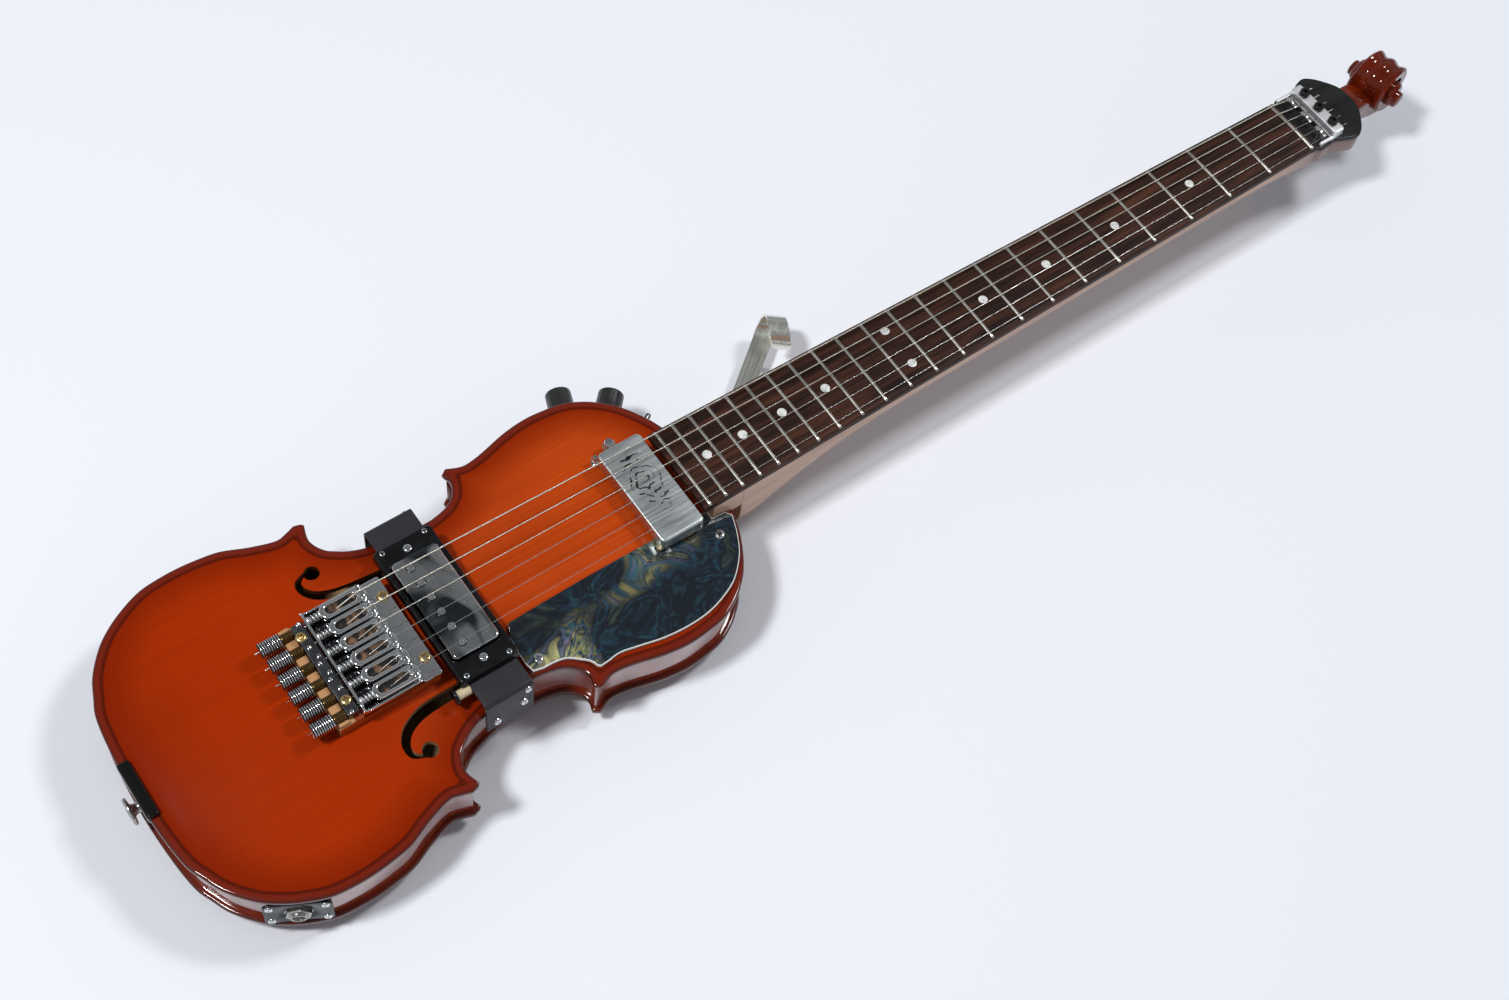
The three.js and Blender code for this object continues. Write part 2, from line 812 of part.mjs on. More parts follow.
function endBlock() {
  const rear = tail + plateOverhang + ribThickness;
  const half = blockWidth / 2;
  const pin = stationHole(strapStation, strapPinRadius + seatGap, strapPinLength + overrun);
  const body = block(rear, rear + endBlockLength, -half, half, ribBottom, ribTop);
  return insideBody(body).subtract(pin);
}

function buildBody() {
  addPiece('back_plate', backPlate(), varnish);
  addPiece('top_plate', topPlate(), varnish);
  addPiece('rib_upper_bass', upperRib(1), ribVarnish);
  addPiece('rib_upper_treble', upperRib(-1), ribVarnish);
  addPiece('rib_waist_bass', waistRib(bassWaistLine), ribVarnish);
  addPiece('rib_waist_treble', waistRib(trebleWaistLine), ribVarnish);
  addPiece('rib_lower', lowerRib(), ribVarnish);
  addPiece('neck_block', neckBlock(), bareWood);
  addPiece('end_block', endBlock(), bareWood);
}

// Neck and fingerboard

function boardHalfAt(x, inset) {
  const slope = (fretLengthAtBody - fretLengthAtNut) / 2 / -lastFret;
  return fretLengthAtNut / 2 + fretEndInset - inset - slope * x;
}

const crownSteps = 3;

// A section of the fingerboard, with the strip between the fret ends raised
function boardRing(x, lift) {
  const full = boardHalfAt(x, 0);
  const half = boardHalfAt(x, fretEndInset);
  const ring = [
    new THREE.Vector3(x, -full, boardBottom),
    new THREE.Vector3(x, full, boardBottom),
    new THREE.Vector3(x, full, boardTop),
  ];
  for (let i = 0; i <= crownSteps; i += 1) {
    const y = half * (1 - 2 * i / crownSteps);
    const crown = boardCrown * (1 - (y / full) ** 2);
    ring.push(new THREE.Vector3(x, y, boardTop + lift + crown));
  }
  ring.push(new THREE.Vector3(x, -full, boardTop));
  return ring;
}

function fretRings(x) {
  const foot = fretWidth / 2;
  const crown = fretWidth / 5;
  return [
    boardRing(x + foot, 0),
    boardRing(x + crown, fretHeight),
    boardRing(x - crown, fretHeight),
    boardRing(x - foot, 0),
  ];
}

function fingerboard() {
  const rings = [boardRing(boardPastNut, 0)];
  for (let n = 1; n <= fretCount; n += 1) {
    rings.push(...fretRings(-scaleLength * (1 - 2 ** (-n / 12))));
  }
  rings.push(boardRing(boardEnd, 0));
  return loft(rings);
}

// The zero fret stands on the board and follows its crown from end to end
function zeroFret() {
  const full = boardHalfAt(0, 0);
  const half = boardHalfAt(0, fretEndInset);
  const foot = fretWidth / 2;
  const crest = fretWidth / 5;
  const lift = seatGap / 10;
  const high = fretHeight - lift;
  const rings = [];
  for (let i = 0; i <= crownSteps; i += 1) {
    const y = half * (1 - 2 * i / crownSteps);
    const seat = boardTop + lift + boardCrown * (1 - (y / full) ** 2);
    rings.push([
      new THREE.Vector3(foot, y, seat),
      new THREE.Vector3(foot, y, seat + high / 3),
      new THREE.Vector3(crest, y, seat + high),
      new THREE.Vector3(-crest, y, seat + high),
      new THREE.Vector3(-foot, y, seat + high / 3),
      new THREE.Vector3(-foot, y, seat),
    ]);
  }
  return loft(rings);
}

const neckSteps = 8;

// A section of the neck: straight sides under the board, then a half round
function neckRing(x, depth) {
  const half = boardHalfAt(x, 0);
  const ring = [new THREE.Vector3(x, -half, boardBottom), new THREE.Vector3(x, half, boardBottom)];
  for (let i = 0; i <= neckSteps; i += 1) {
    const turn = Math.PI * i / neckSteps;
    const z = boardBottom - neckSideDrop - (depth - neckSideDrop) * Math.sin(turn);
    ring.push(new THREE.Vector3(x, half * Math.cos(turn), z));
  }
  return ring;
}

function neckShaft() {
  const body = -bodyTopEnd;
  const heelFront = body + heelLength;
  const rings = [
    neckRing(heelFront, neckDepthAtBody),
    neckRing(-voluteRun, neckDepthAtNut),
    neckRing(-voluteRun / 2, neckDepthAtNut + voluteDepth / 6),
    neckRing(0, neckDepthAtNut + voluteDepth * 2 / 3),
    neckRing(boardPastNut, neckDepthAtNut + voluteDepth * 3 / 4),
  ];
  return loft(rings.reverse());
}

function legScrewHole() {
  const low = legTop - legThickness - seatGap;
  const from = new THREE.Vector3(legPivot, 0, low);
  const to = new THREE.Vector3(legPivot, 0, low + legScrewLength + seatGap);
  return rod(from, to, legScrewRadius + seatGap, 12);
}

function volute() {
  const front = voluteLength;
  const back = -voluteRun / 4;
  const low = boardBottom - neckDepthAtNut - voluteDepth;
  const profile = [
    [front, headPlateBottom],
    [headStart, headPlateBottom],
    [back, boardBottom - neckDepthAtNut],
    [0, low],
    [front, low],
  ];
  const half = boardHalfAt(0, 0) - fretEndInset;
  return sidePrism(profile, -half, half);
}

function heel() {
  const rear = -bodyTopEnd - tongueLength - seatGap;
  const joint = -bodyTopEnd + heelLength;
  const front = joint + heelRun;
  const low = ribBottom;
  const neckLow = boardBottom - neckDepthAtBody;
  const profile = [
    [rear, boardBottom],
    [front, boardBottom],
    [front, neckLow + neckSideDrop],
    [joint + heelRun / 2, neckLow - neckSideDrop],
    [joint, (low + neckLow) / 2 - neckSideDrop],
    [joint - heelRun / 4, low],
    [rear, low],
  ];
  const outline = [
    [rear, -boardHalfAt(rear, 0)],
    [front, -boardHalfAt(front, 0)],
    [front, boardHalfAt(front, 0)],
    [rear, boardHalfAt(rear, 0)],
  ];
  return sidePrism(profile, -halfBody, halfBody).intersect(prism(outline, low, boardBottom));
}

function tenon() {
  const rear = -bodyTopEnd - plateOverhang - tenonLength;
  const half = tenonWidth / 2;
  return block(rear, -bodyTopEnd + overrun, -half, half, ribBottom, ribTop);
}

function headOutline(grow) {
  const points = headShares.map(([along, out]) => [
    headStart + along * headLength,
    out * headWidth / 2 + grow,
  ]);
  const start = [headStart, points[0][1]];
  const bass = [start, ...points];
  return [...bass, ...bass.map(([x, y]) => [x, -y]).reverse()];
}

function headCore() {
  return prism(headOutline(-seatGap), headPlateBottom - headThickness, headPlateBottom);
}

function neck() {
  const ribSpace = insetBody(plateOverhang - seatGap, backBottom, ribTop + seatGap);
  const belly = bellyWithGap().intersect(prism(bodyOutline(seatGap), ribTop, archPeak + overrun));
  return neckShaft()
    .add(heel())
    .subtract(ribSpace)
    .subtract(belly)
    .add(tenon())
    .add(volute())
    .add(headCore())
    .subtract(scrollRoot(seatGap))
    .subtract(legScrewHole());
}

function headPlate() {
  return prism(headOutline(0), headPlateBottom, headPlateTop);
}

// Scroll

function scrollPoint(along, side, drop) {
  const turn = new THREE.Vector3(along, side, 0).applyAxisAngle(new THREE.Vector3(0, 0, 1), scrollYaw);
  return new THREE.Vector3(headEnd + scrollCentreAhead + turn.x, scrollCentreSide + turn.y, -drop);
}

function scrollDisc(radius, width, lift, ahead) {
  const from = scrollPoint(ahead, -width / 2, scrollCentreDrop - lift);
  const to = scrollPoint(ahead, width / 2, scrollCentreDrop - lift);
  return rod(from, to, radius, 16);
}

// The stem between head and scroll, widened all round where something must clear it
function scrollRoot(grow) {
  const half = scrollRootWidth / 2 + grow;
  const top = headPlateBottom - seatGap * 2 + grow;
  const low = top - scrollRootThickness - grow * 2;
  const start = headEnd - scrollRootLength - grow;
  const end = headEnd + scrollCentreAhead;
  const shift = scrollCentreSide;
  const ring = (x, side, drop) => [
    new THREE.Vector3(x, side - half, low - drop),
    new THREE.Vector3(x, side + half, low - drop),
    new THREE.Vector3(x, side + half, top - drop),
    new THREE.Vector3(x, side - half, top - drop),
  ];
  const dip = scrollCentreDrop / 3;
  return loft([ring(start, 0, 0), ring(headEnd, 0, 0), ring(end, shift, dip)]);
}

function scroll() {
  const turnLift = scrollRadius / 8;
  return scrollRoot(0)
    .add(scrollDisc(scrollRadius, scrollWidth, 0, 0))
    .add(scrollDisc(scrollTurnRadius, scrollTurnWidth, turnLift, -turnLift))
    .add(scrollDisc(scrollEyeRadius, scrollEyeWidth, turnLift, -turnLift));
}

function buildNeck() {
  addPiece('neck', neck(), maple);
  addPiece('fingerboard', fingerboard(), finish(0x3c231c, 0.55, 0));
  addPiece('nut_bar', zeroFret(), finish(0xc8c3b9, 0.25, 1));
  addPiece('headstock_plate', headPlate(), finish(0x282a28, 0.3, 0));
  addPiece('scroll', scroll(), finish(0x6e1e0f, 0.2, 0));
}

// Strings, from the tail of the clamp over the zero fret and the saddle to the tuner

function stringPlace(i) {
  return i - (stringCount - 1) / 2;
}

function stringRadius(i) {
  return thinString / 2 + (thickString - thinString) * stringThicknessShares[i];
}

function stringPath(i) {
  const place = stringPlace(i);
  const radius = stringRadius(i);
  const nutY = place * stringSpacingAtNut;
  const clampY = place * stringSpacingAtClamp;
  const bridgeY = place * stringSpacingAtBridge;
  const crown = boardCrown * (1 - (nutY / boardHalfAt(0, 0)) ** 2);
  const clampEnd = clampStart + clampLength;
  return [
    new THREE.Vector3(clampEnd + stringTailPastClamp, clampY, stringHeightAtClamp),
    new THREE.Vector3(clampEnd - clampBarWidth, clampY, stringHeightAtClamp),
    new THREE.Vector3(0, nutY, crown + radius + seatGap),
    new THREE.Vector3(bridgeBreak, bridgeY, stringHeightAtBridge),
    new THREE.Vector3(bridgeBreak - stringDiveRun, bridgeY, -stringAnchorDrop),
    new THREE.Vector3(barrelEnd - stringTailPastBarrel, bridgeY, -stringAnchorDrop),
  ];
}

function buildStrings() {
  for (let i = 0; i < stringCount; i += 1) {
    const colour = i < stringCount / 2 ? finish(0xc8c8c6, 0.2, 1) : finish(0xb4a88c, 0.35, 1);
    addPiece(`string_${i + 1}`, wire(stringPath(i), stringRadius(i), 6), colour);
  }
}

// Clamp behind the nut

const clampBarRear = clampStart + clampLength - clampBarWidth - overrun / 4;
const clampBarBottom = stringHeightAtClamp + thickString + 2 * seatGap;
const clampBarTop = clampBarBottom + clampBarThickness;

function clampBase() {
  const half = clampWidth / 2;
  const front = clampStart + clampLength;
  const low = headPlateTop;
  const base = block(clampBarRear, front, -half, half, low, low + clampBaseThickness);
  const bar = block(clampBarRear, front, -half, half, clampBarBottom, clampBarTop);
  let solid = base.add(bar);
  [-1, 1].forEach((side) => {
    const outer = side * half;
    const inner = side * (half - clampArmThickness);
    solid = solid.add(block(clampBarRear, front, outer, inner, low, clampBarTop));
    solid = solid.add(block(clampStart, front, outer, inner, low, clampBarBottom));
  });
  for (let n = -1; n <= 1; n += 1) {
    const centre = clampScrewCentre(n);
    const from = new THREE.Vector3(centre.x, centre.y, clampBarBottom - seatGap);
    const to = new THREE.Vector3(centre.x, centre.y, clampBarTop + overrun);
    solid = solid.subtract(rod(from, to, clampScrewShank + seatGap, 12));
  }
  return solid;
}

function clampScrewCentre(n) {
  const x = (clampBarRear + clampStart + clampLength) / 2;
  return new THREE.Vector3(x, -n * clampScrewPitch, 0);
}

function clampScrew(n) {
  const low = headPlateTop + clampBaseThickness + seatGap;
  const head = clampBarTop + seatGap;
  const top = head + clampScrewHeadHeight;
  const centre = clampScrewCentre(n);
  const edge = clampHexDepth / 4;
  const profile = [
    [0, low],
    [clampScrewShank, low],
    [clampScrewShank, head],
    [clampScrewRadius, head],
    [clampScrewRadius, top - edge],
    [clampScrewRadius - edge, top],
    [0, top],
  ];
  const geometry = new THREE.LatheGeometry(profile.map(([r, z]) => new THREE.Vector2(r, z)), 16);
  geometry.rotateX(Math.PI / 2);
  geometry.translate(centre.x, centre.y, 0);
  const socket = new THREE.CylinderGeometry(
    clampHexAcross / Math.sqrt(3),
    clampHexAcross / Math.sqrt(3),
    clampHexDepth + overrun,
    6,
  );
  socket.rotateX(Math.PI / 2);
  socket.translate(centre.x, centre.y, top - clampHexDepth + (clampHexDepth + overrun) / 2);
  return toSolid(geometry).subtract(toSolid(socket));
}

function stringTree(n) {
  const share = treeAhead / (clampStart + clampLength - clampBarWidth);
  const spacing = stringSpacingAtNut + (stringSpacingAtClamp - stringSpacingAtNut) * share;
  const height = (1 - share) * (boardCrown + thickString / 2 + seatGap) + share * stringHeightAtClamp;
  const y = -n * 2 * spacing;
  const low = height + thickString / 2 + seatGap;
  const half = treeBarWidth / 2;
  const bar = block(
    treeAhead - half,
    treeAhead + half,
    y - treeSpan / 2,
    y + treeSpan / 2,
    low,
    low + treeBarHeight,
  );
  const foot = new THREE.Vector3(treeAhead, y, headPlateTop);
  const head = new THREE.Vector3(treeAhead, y, low + treeBarHeight * 3 / 2);
  return bar.add(rod(foot, head, treePostRadius, 10));
}

function buildClamp() {
  addPiece('string_clamp_base', clampBase(), chrome);
  for (let n = -1; n <= 1; n += 1) {
    addPiece(`clamp_screw_${n + 2}`, clampScrew(n), blackPaint);
    addPiece(`string_tree_${n + 2}`, stringTree(n), chrome);
  }
}

// Bridge on its riser

function riserBlock() {
  const half = bridgeWidth / 2 - riserInset;
  const rear = bridgeRear - riserPastPlate;
  const low = plateTop;
  const body = block(rear, -bridgeFront - riserInset, -half, half, low, riserTop);
  const fingersFront = tunerBarRear - seatGap;
  const fingerTop = riserTop + riserFingerHeight;
  const fingers = block(rear, fingersFront, -half, half, riserTop - overrun, fingerTop);
  let solid = body.add(fingers);
  for (let i = 0; i < stringCount; i += 1) {
    const y = stringPlace(i) * stringSpacingAtBridge;
    const groove = riserGrooveWidth / 2;
    const grooveLow = -stringAnchorDrop - groove;
    solid = solid.subtract(block(
      rear - overrun,
      fingersFront + overrun,
      y - groove,
      y + groove,
      grooveLow,
      fingerTop + overrun,
    ));
  }
  return solid.subtract(bellyWithGap());
}

function throughHoles(x0, x1, radius) {
  let holes = null;
  for (let i = 0; i < stringCount; i += 1) {
    const y = stringPlace(i) * stringSpacingAtBridge;
    const hole = rod(
      new THREE.Vector3(x0, y, -stringAnchorDrop),
      new THREE.Vector3(x1, y, -stringAnchorDrop),
      radius,
      8,
    );
    holes = holes === null ? hole : holes.add(hole);
  }
  return holes;
}

function bridgePlate() {
  const half = bridgeWidth / 2;
  const front = -bridgeFront;
  const rimStart = -saddleFront;
  const base = block(bridgeRear, front, -half, half, bridgeBottom, bridgeTop);
  const rimTop = bridgeTop + bridgeRimHeight;
  const lipTop = bridgeTop + bridgeLipHeight;
  const lip = block(bridgeRear, bridgeRear + bridgeRimThickness, -half, half, bridgeBottom, lipTop);
  let solid = base.add(lip);
  [-1, 1].forEach((side) => {
    const inner = side * (half - bridgeRimThickness);
    const rim = block(bridgeRear, rimStart, side * half, inner, bridgeBottom, rimTop);
    solid = solid.add(rim);
  });
  const from = bridgeRear - overrun;
  const to = bridgeRear + bridgeRimThickness + overrun;
  return solid.subtract(throughHoles(from, to, stringHoleRadius).subtract(
    block(from, to, -half, half, bridgeBottom - overrun, bridgeTop),
  ));
}

function roundedBar(length, width, x, y, z0, z1) {
  const radius = width / 2;
  const points = [];
  const steps = 4;
  for (let i = 0; i <= steps; i += 1) {
    const turn = -Math.PI / 2 + Math.PI * i / steps;
    points.push([x + length / 2 - radius + radius * Math.cos(turn), y + radius * Math.sin(turn)]);
  }
  for (let i = 0; i <= steps; i += 1) {
    const turn = Math.PI / 2 + Math.PI * i / steps;
    points.push([x - length / 2 + radius + radius * Math.cos(turn), y + radius * Math.sin(turn)]);
  }
  return prism(points, z0, z1);
}

function saddle(i) {
  const y = stringPlace(i) * stringSpacingAtBridge;
  const centre = -saddleFront - saddleLength / 2;
  const low = bridgeTop + saddleLift;
  const top = low + saddleHeight;
  const slotLength = saddleLength - 2 * saddleEndWall;
  const slotWidth = saddleWidth - 2 * saddleWall;
  const body = roundedBar(saddleLength, saddleWidth, centre, y, low, top);
  const slot = roundedBar(slotLength, slotWidth, centre, y, low - overrun, top + overrun);
  let solid = body.subtract(slot);
  [-1, 1].forEach((side) => {
    const x = -saddleFront - saddleEndWall / 2;
    const footY = y + side * (saddleWidth / 2 - saddleEndWall + saddleWall);
    const foot = new THREE.Vector3(x, footY, bridgeTop + seatGap);
    solid = solid.add(rod(foot, new THREE.Vector3(x, footY, top + seatGap), saddleScrewRadius, 6));
  });
  return solid;
}

function tunerBar() {
  const half = tunerBarWidth / 2;
  const bar = block(tunerBarRear, tunerBarFront, -half, half, riserTop, riserTop + tunerBarHeight);
  return bar.subtract(throughHoles(tunerBarRear - overrun, tunerBarFront + overrun, stringHoleRadius));
}

function tunerBarrel(i) {
  const ridgeCount = 2;
  const start = barrelNeckLength;
  const profile = [
    [barrelBore, 0],
    [barrelNeckRadius, 0],
    [barrelNeckRadius, start],
    [barrelRadius - barrelRingDepth, start],
  ];
  const pitch = (barrelLength - barrelRingWidth) / ridgeCount;
  for (let n = 0; n < ridgeCount; n += 1) {
    const from = start + barrelRingWidth / 2 + n * pitch;
    profile.push([barrelRadius, from]);
    profile.push([barrelRadius, from + pitch - barrelRingWidth]);
    profile.push([barrelRadius - barrelRingDepth, from + pitch - barrelRingWidth / 2]);
  }
  profile.push([barrelRadius - barrelRingDepth, start + barrelLength]);
  profile.push([barrelBore, start + barrelLength]);
  profile.push([barrelBore, 0]);
  const y = stringPlace(i) * stringSpacingAtBridge;
  const from = new THREE.Vector3(barrelStart, y, -stringAnchorDrop);
  return turned(profile, from, new THREE.Vector3(-1, 0, 0), 10);
}

function buildBridge() {
  addPiece('bridge_riser', riserBlock(), finish(0x8c3c1c, 0.35, 0));
  addPiece('bridge_plate', bridgePlate(), chrome);
  for (let i = 0; i < stringCount; i += 1) {
    addPiece(`saddle_${i + 1}`, saddle(i), chrome);
  }
  addPiece('tuner_bar', tunerBar(), chrome);
  for (let i = 0; i < stringCount; i += 1) {
    addPiece(`tuner_barrel_${i + 1}`, tunerBarrel(i), chrome);
  }
}

// Pickups

function pickupCover(centre, top) {
  const low = top - pickupHeight;
  const outline = (inset) => {
    const halfX = pickupWidth / 2 - inset;
    const halfY = pickupLength / 2 - inset;
    const cut = pickupCorner;
    return [
      [-centre - halfX + cut, -halfY],
      [-centre + halfX - cut, -halfY],
      [-centre + halfX, -halfY + cut],
      [-centre + halfX, halfY - cut],
      [-centre + halfX - cut, halfY],
      [-centre - halfX + cut, halfY],
      [-centre - halfX, halfY - cut],
      [-centre - halfX, -halfY + cut],
    ];
  };
  const ring = (inset, z) => outline(inset).map(([x, y]) => new THREE.Vector3(x, y, z));
  return loft([ring(0, low), ring(0, top - pickupEdge), ring(pickupEdge, top)]);
}

function neckPickupFoot() {
  const half = neckPickupFootWidth / 2;
  const top = neckPickupTop - pickupHeight;
  const long = pickupLength / 2 - pickupCorner;
  const foot = block(-neckPickupCentre - half, -neckPickupCentre + half, -long, long, ribTop, top);
  return foot.subtract(bellyWithGap());
}

function pickupRing() {
  const halfX = ringWidth / 2;
  const halfY = ringLength / 2;
  const x = -bridgePickupCentre;
  const ring = (inset, z) => [
    new THREE.Vector3(x - halfX + inset, -halfY + inset, z),
    new THREE.Vector3(x + halfX - inset, -halfY + inset, z),
    new THREE.Vector3(x + halfX - inset, halfY - inset, z),
    new THREE.Vector3(x - halfX + inset, halfY - inset, z),
  ];
  const frame = loft([ring(0, bracketTop), ring(ringTaper, ringTop)]);
  return frame.subtract(pickupHole(bracketBottom));
}

function pickupHole(low) {
  const halfX = pickupWidth / 2 + seatGap;
  const halfY = pickupLength / 2 + seatGap;
  const x = -bridgePickupCentre;
  return block(x - halfX, x + halfX, -halfY, halfY, low - overrun, ringTop + overrun);
}

// Half the width of the body at its widest between two places along it
function widestBetween(x0, x1) {
  const outline = bodyOutline(0);
  let widest = 0;
  outline.forEach(([ax, ay], i) => {
    const [bx, by] = outline[(i + 1) % outline.length];
    if (Math.max(ax, bx) < x0 || Math.min(ax, bx) > x1) {
      return;
    }
    [ax, bx, x0, x1].forEach((x) => {
      const share = bx === ax ? 0 : (x - ax) / (bx - ax);
      if (x >= x0 && x <= x1 && share >= 0 && share <= 1) {
        widest = Math.max(widest, Math.abs(ay + share * (by - ay)));
      }
    });
  });
  return widest;
}

function bracket() {
  const x1 = -bracketFront;
  const x0 = x1 - bracketWidth;
  const half = widestBetween(x0, x1) + bracketSideGap + bracketThickness;
  const sheet = block(x0, x1, -half, half, bracketBottom, bracketTop);
  let solid = sheet;
  [-1, 1].forEach((side) => {
    const outer = side * half;
    const inner = side * (half - bracketThickness);
    solid = solid.add(block(x0, x1, outer, inner, bracketTop - bracketDrop, bracketTop));
  });
  return solid.subtract(pickupHole(bracketBottom));
}

function pickguard() {
  const outline = guardShares.map(([along, out]) => [tail + along * bodyLength, -out * halfBody]);
  const low = plateTop + seatGap;
  const slab = archedSlab(low, topRise, low + guardThickness, topRise);
  const pickup = block(
    -neckPickupCentre - neckPickupFootWidth / 2 - seatGap,
    -neckPickupCentre + neckPickupFootWidth / 2 + seatGap,
    -pickupLength / 2 + pickupCorner - seatGap,
    pickupLength,
    plateTop,
    overrun,
  );
  const tongue = block(
    -bodyTopEnd - tongueLength - 2 * seatGap,
    0,
    -boardHalfAt(-bodyTopEnd - tongueLength, 0) - seatGap,
    halfBody,
    plateTop - overrun,
    overrun,
  );
  const frame = block(
    tail,
    -bridgePickupCentre + ringWidth / 2 + seatGap,
    -halfBody,
    halfBody,
    plateTop - overrun,
    overrun,
  );
  return slab
    .intersect(prism(outline, plateTop - overrun, archPeak + guardThickness + overrun))
    .subtract(pickup)
    .subtract(tongue)
    .subtract(frame);
}

function buildPickups() {
  addPiece('pickguard', pickguard(), finish(0x192832, 0.15, 0.1));
  addPiece('neck_pickup_cover', pickupCover(neckPickupCentre, neckPickupTop), chrome);
  addPiece('neck_pickup_base', neckPickupFoot(), finish(0x6c6250, 0.5, 0.2));
  addPiece('bridge_pickup_cover', pickupCover(bridgePickupCentre, bridgePickupTop), chrome);
  addPiece('pickup_ring', pickupRing(), blackPaint);
  addPiece('pickup_bracket', bracket(), blackPaint);
}

// Tail fittings

function tailSaddle() {
  const half = tailSaddleWidth / 2;
  const low = ribTop;
  const top = low + tailSaddleHeight;
  const rear = tail - tailSaddleOverhang;
  const front = tail + tailSaddleLength;
  const edge = tailSaddleHeight / 4;
  const profile = [
    [rear, low],
    [front, low],
    [front, top - edge],
    [front - edge, top],
    [rear + edge, top],
    [rear, top - edge],
  ];
  return sidePrism(profile, -half, half);
}

function strapButton() {
  const stem = strapStemLength;
  const end = stem + strapDiscThickness;
  const edge = strapDiscThickness / 3;
  const profile = [
    [0, -strapPinLength],
    [strapPinRadius, -strapPinLength],
    [strapPinRadius, seatGap],
    [strapStemRadius, seatGap],
    [strapStemRadius - edge, stem / 2],
    [strapStemRadius, stem],
    [strapDiscRadius - edge, stem],
    [strapDiscRadius, stem + edge],
    [strapDiscRadius, end - edge],
    [strapDiscRadius - edge, end],
    [0, end],
  ];
  return turned(profile, strapStation.point, strapStation.out, 16);
}

function jackPlate() {
  const halfX = jackPlateLength / 2;
  const halfY = jackPlateHeight / 2;
  const cut = jackPlateCorner;
  const outline = [
    [-halfX + cut, -halfY], [halfX - cut, -halfY], [halfX, -halfY + cut], [halfX, halfY - cut],
    [halfX - cut, halfY], [-halfX + cut, halfY], [-halfX, halfY - cut], [-halfX, -halfY + cut],
  ];
  const hole = rod(
    new THREE.Vector3(0, 0, -overrun),
    new THREE.Vector3(0, 0, jackPlateThickness + overrun),
    jackBushRadius + seatGap,
    16,
  );
  return prism(outline, seatGap, seatGap + jackPlateThickness).subtract(hole);
}

function jackSocket() {
  const face = 2 * seatGap + jackPlateThickness;
  const nut = hexagon(jackNutAcross, face, face + jackNutThickness);
  const bush = rod(
    new THREE.Vector3(0, 0, -overrun),
    new THREE.Vector3(0, 0, face + jackNutThickness),
    jackBushRadius,
    16,
  );
  const body = rod(new THREE.Vector3(0, 0, -jackLength), new THREE.Vector3(0, 0, 0), jackBodyRadius, 12);
  const bore = rod(
    new THREE.Vector3(0, 0, -jackLength + overrun),
    new THREE.Vector3(0, 0, face + jackNutThickness + overrun),
    jackBore,
    12,
  );
  return nut.add(bush).add(body).subtract(bore);
}

function buildTail() {
  addPiece('tail_saddle', tailSaddle(), finish(0x0c0a0a, 0.35, 0));
  addPiece('strap_button', strapButton(), chrome);
  const jack = stationGroup(jackStation);
  addPiece('jack_plate', jackPlate(), finish(0x2c2e30, 0.25, 0.8), jack);
  addPiece('jack_socket', jackSocket(), chrome, jack);
}

// Controls

function pot() {
  const inside = -ribThickness - controlInset;
  const body = rod(
    new THREE.Vector3(0, 0, inside - potBodyLength),
    new THREE.Vector3(0, 0, inside),
    potBodyRadius,
    14,
  );
  const nutTop = seatGap + potNutThickness;
  const bush = rod(
    new THREE.Vector3(0, 0, inside - overrun),
    new THREE.Vector3(0, 0, nutTop),
    potBushRadius,
    12,
  );
  const nut = hexagon(potNutAcross, seatGap, nutTop);
  const bore = rod(
    new THREE.Vector3(0, 0, -shaftDepth),
    new THREE.Vector3(0, 0, nutTop + overrun),
    shaftRadius + seatGap,
    12,
  );
  return body.add(bush).add(nut).subtract(bore);
}

function knob() {
  const end = knobStandOff + knobLength;
  const profile = [
    [0, seatGap - shaftDepth],
    [shaftRadius, seatGap - shaftDepth],
    [shaftRadius, knobStandOff],
    [knobRadius, knobStandOff],
    [knobRadius, end - knobFlute],
    [knobRadius - knobFlute, end],
    [0, end],
  ];
  return turned(profile, new THREE.Vector3(0, 0, 0), new THREE.Vector3(0, 0, 1), 16);
}

function toggleBody() {
  const inside = -ribThickness - controlInset;
  const half = toggleBodyLength / 2;
  const narrow = toggleBodyWidth / 2;
  const box = block(-half, half, -narrow, narrow, inside - toggleBodyDepth, inside);
  const nut = hexagon(toggleNutAcross, seatGap, seatGap + toggleNutThickness);
  const bush = rod(
    new THREE.Vector3(0, 0, inside - overrun),
    new THREE.Vector3(0, 0, toggleBushStandOff),
    toggleBushRadius,
    14,
  );
  const bore = rod(
    new THREE.Vector3(0, 0, toggleBushStandOff - leverDepth - overrun),
    new THREE.Vector3(0, 0, toggleBushStandOff + overrun),
    leverBore,
    14,
  );
  return box.add(bush).add(nut).subtract(bore);
}

function toggleLever() {
  const start = toggleBushStandOff - leverDepth;
  const end = start + leverLength;
  const profile = [
    [0, start],
    [leverRadius, start],
    [leverTipRadius, end - leverTipRadius],
    [leverTipRadius / 2, end],
    [0, end],
  ];
  return turned(profile, new THREE.Vector3(0, 0, 0), new THREE.Vector3(0, 0, 1), 12);
}

function buildControls() {
  const stations = [['volume', volumeStation], ['tone', toneStation]];
  stations.forEach(([label, station]) => {
    const group = stationGroup(station);
    addPiece(`${label}_knob`, knob(), finish(0x141414, 0.4, 0), group);
    addPiece(`${label}_pot`, pot(), finish(0x9a9a98, 0.4, 0.8), group);
  });
  const group = stationGroup(toggleStation);
  addPiece('toggle_lever', toggleLever(), chrome, group);
  addPiece('toggle_body', toggleBody(), finish(0x3a3c40, 0.5, 0.3), group);
}

// Leg rest under the neck end of the back

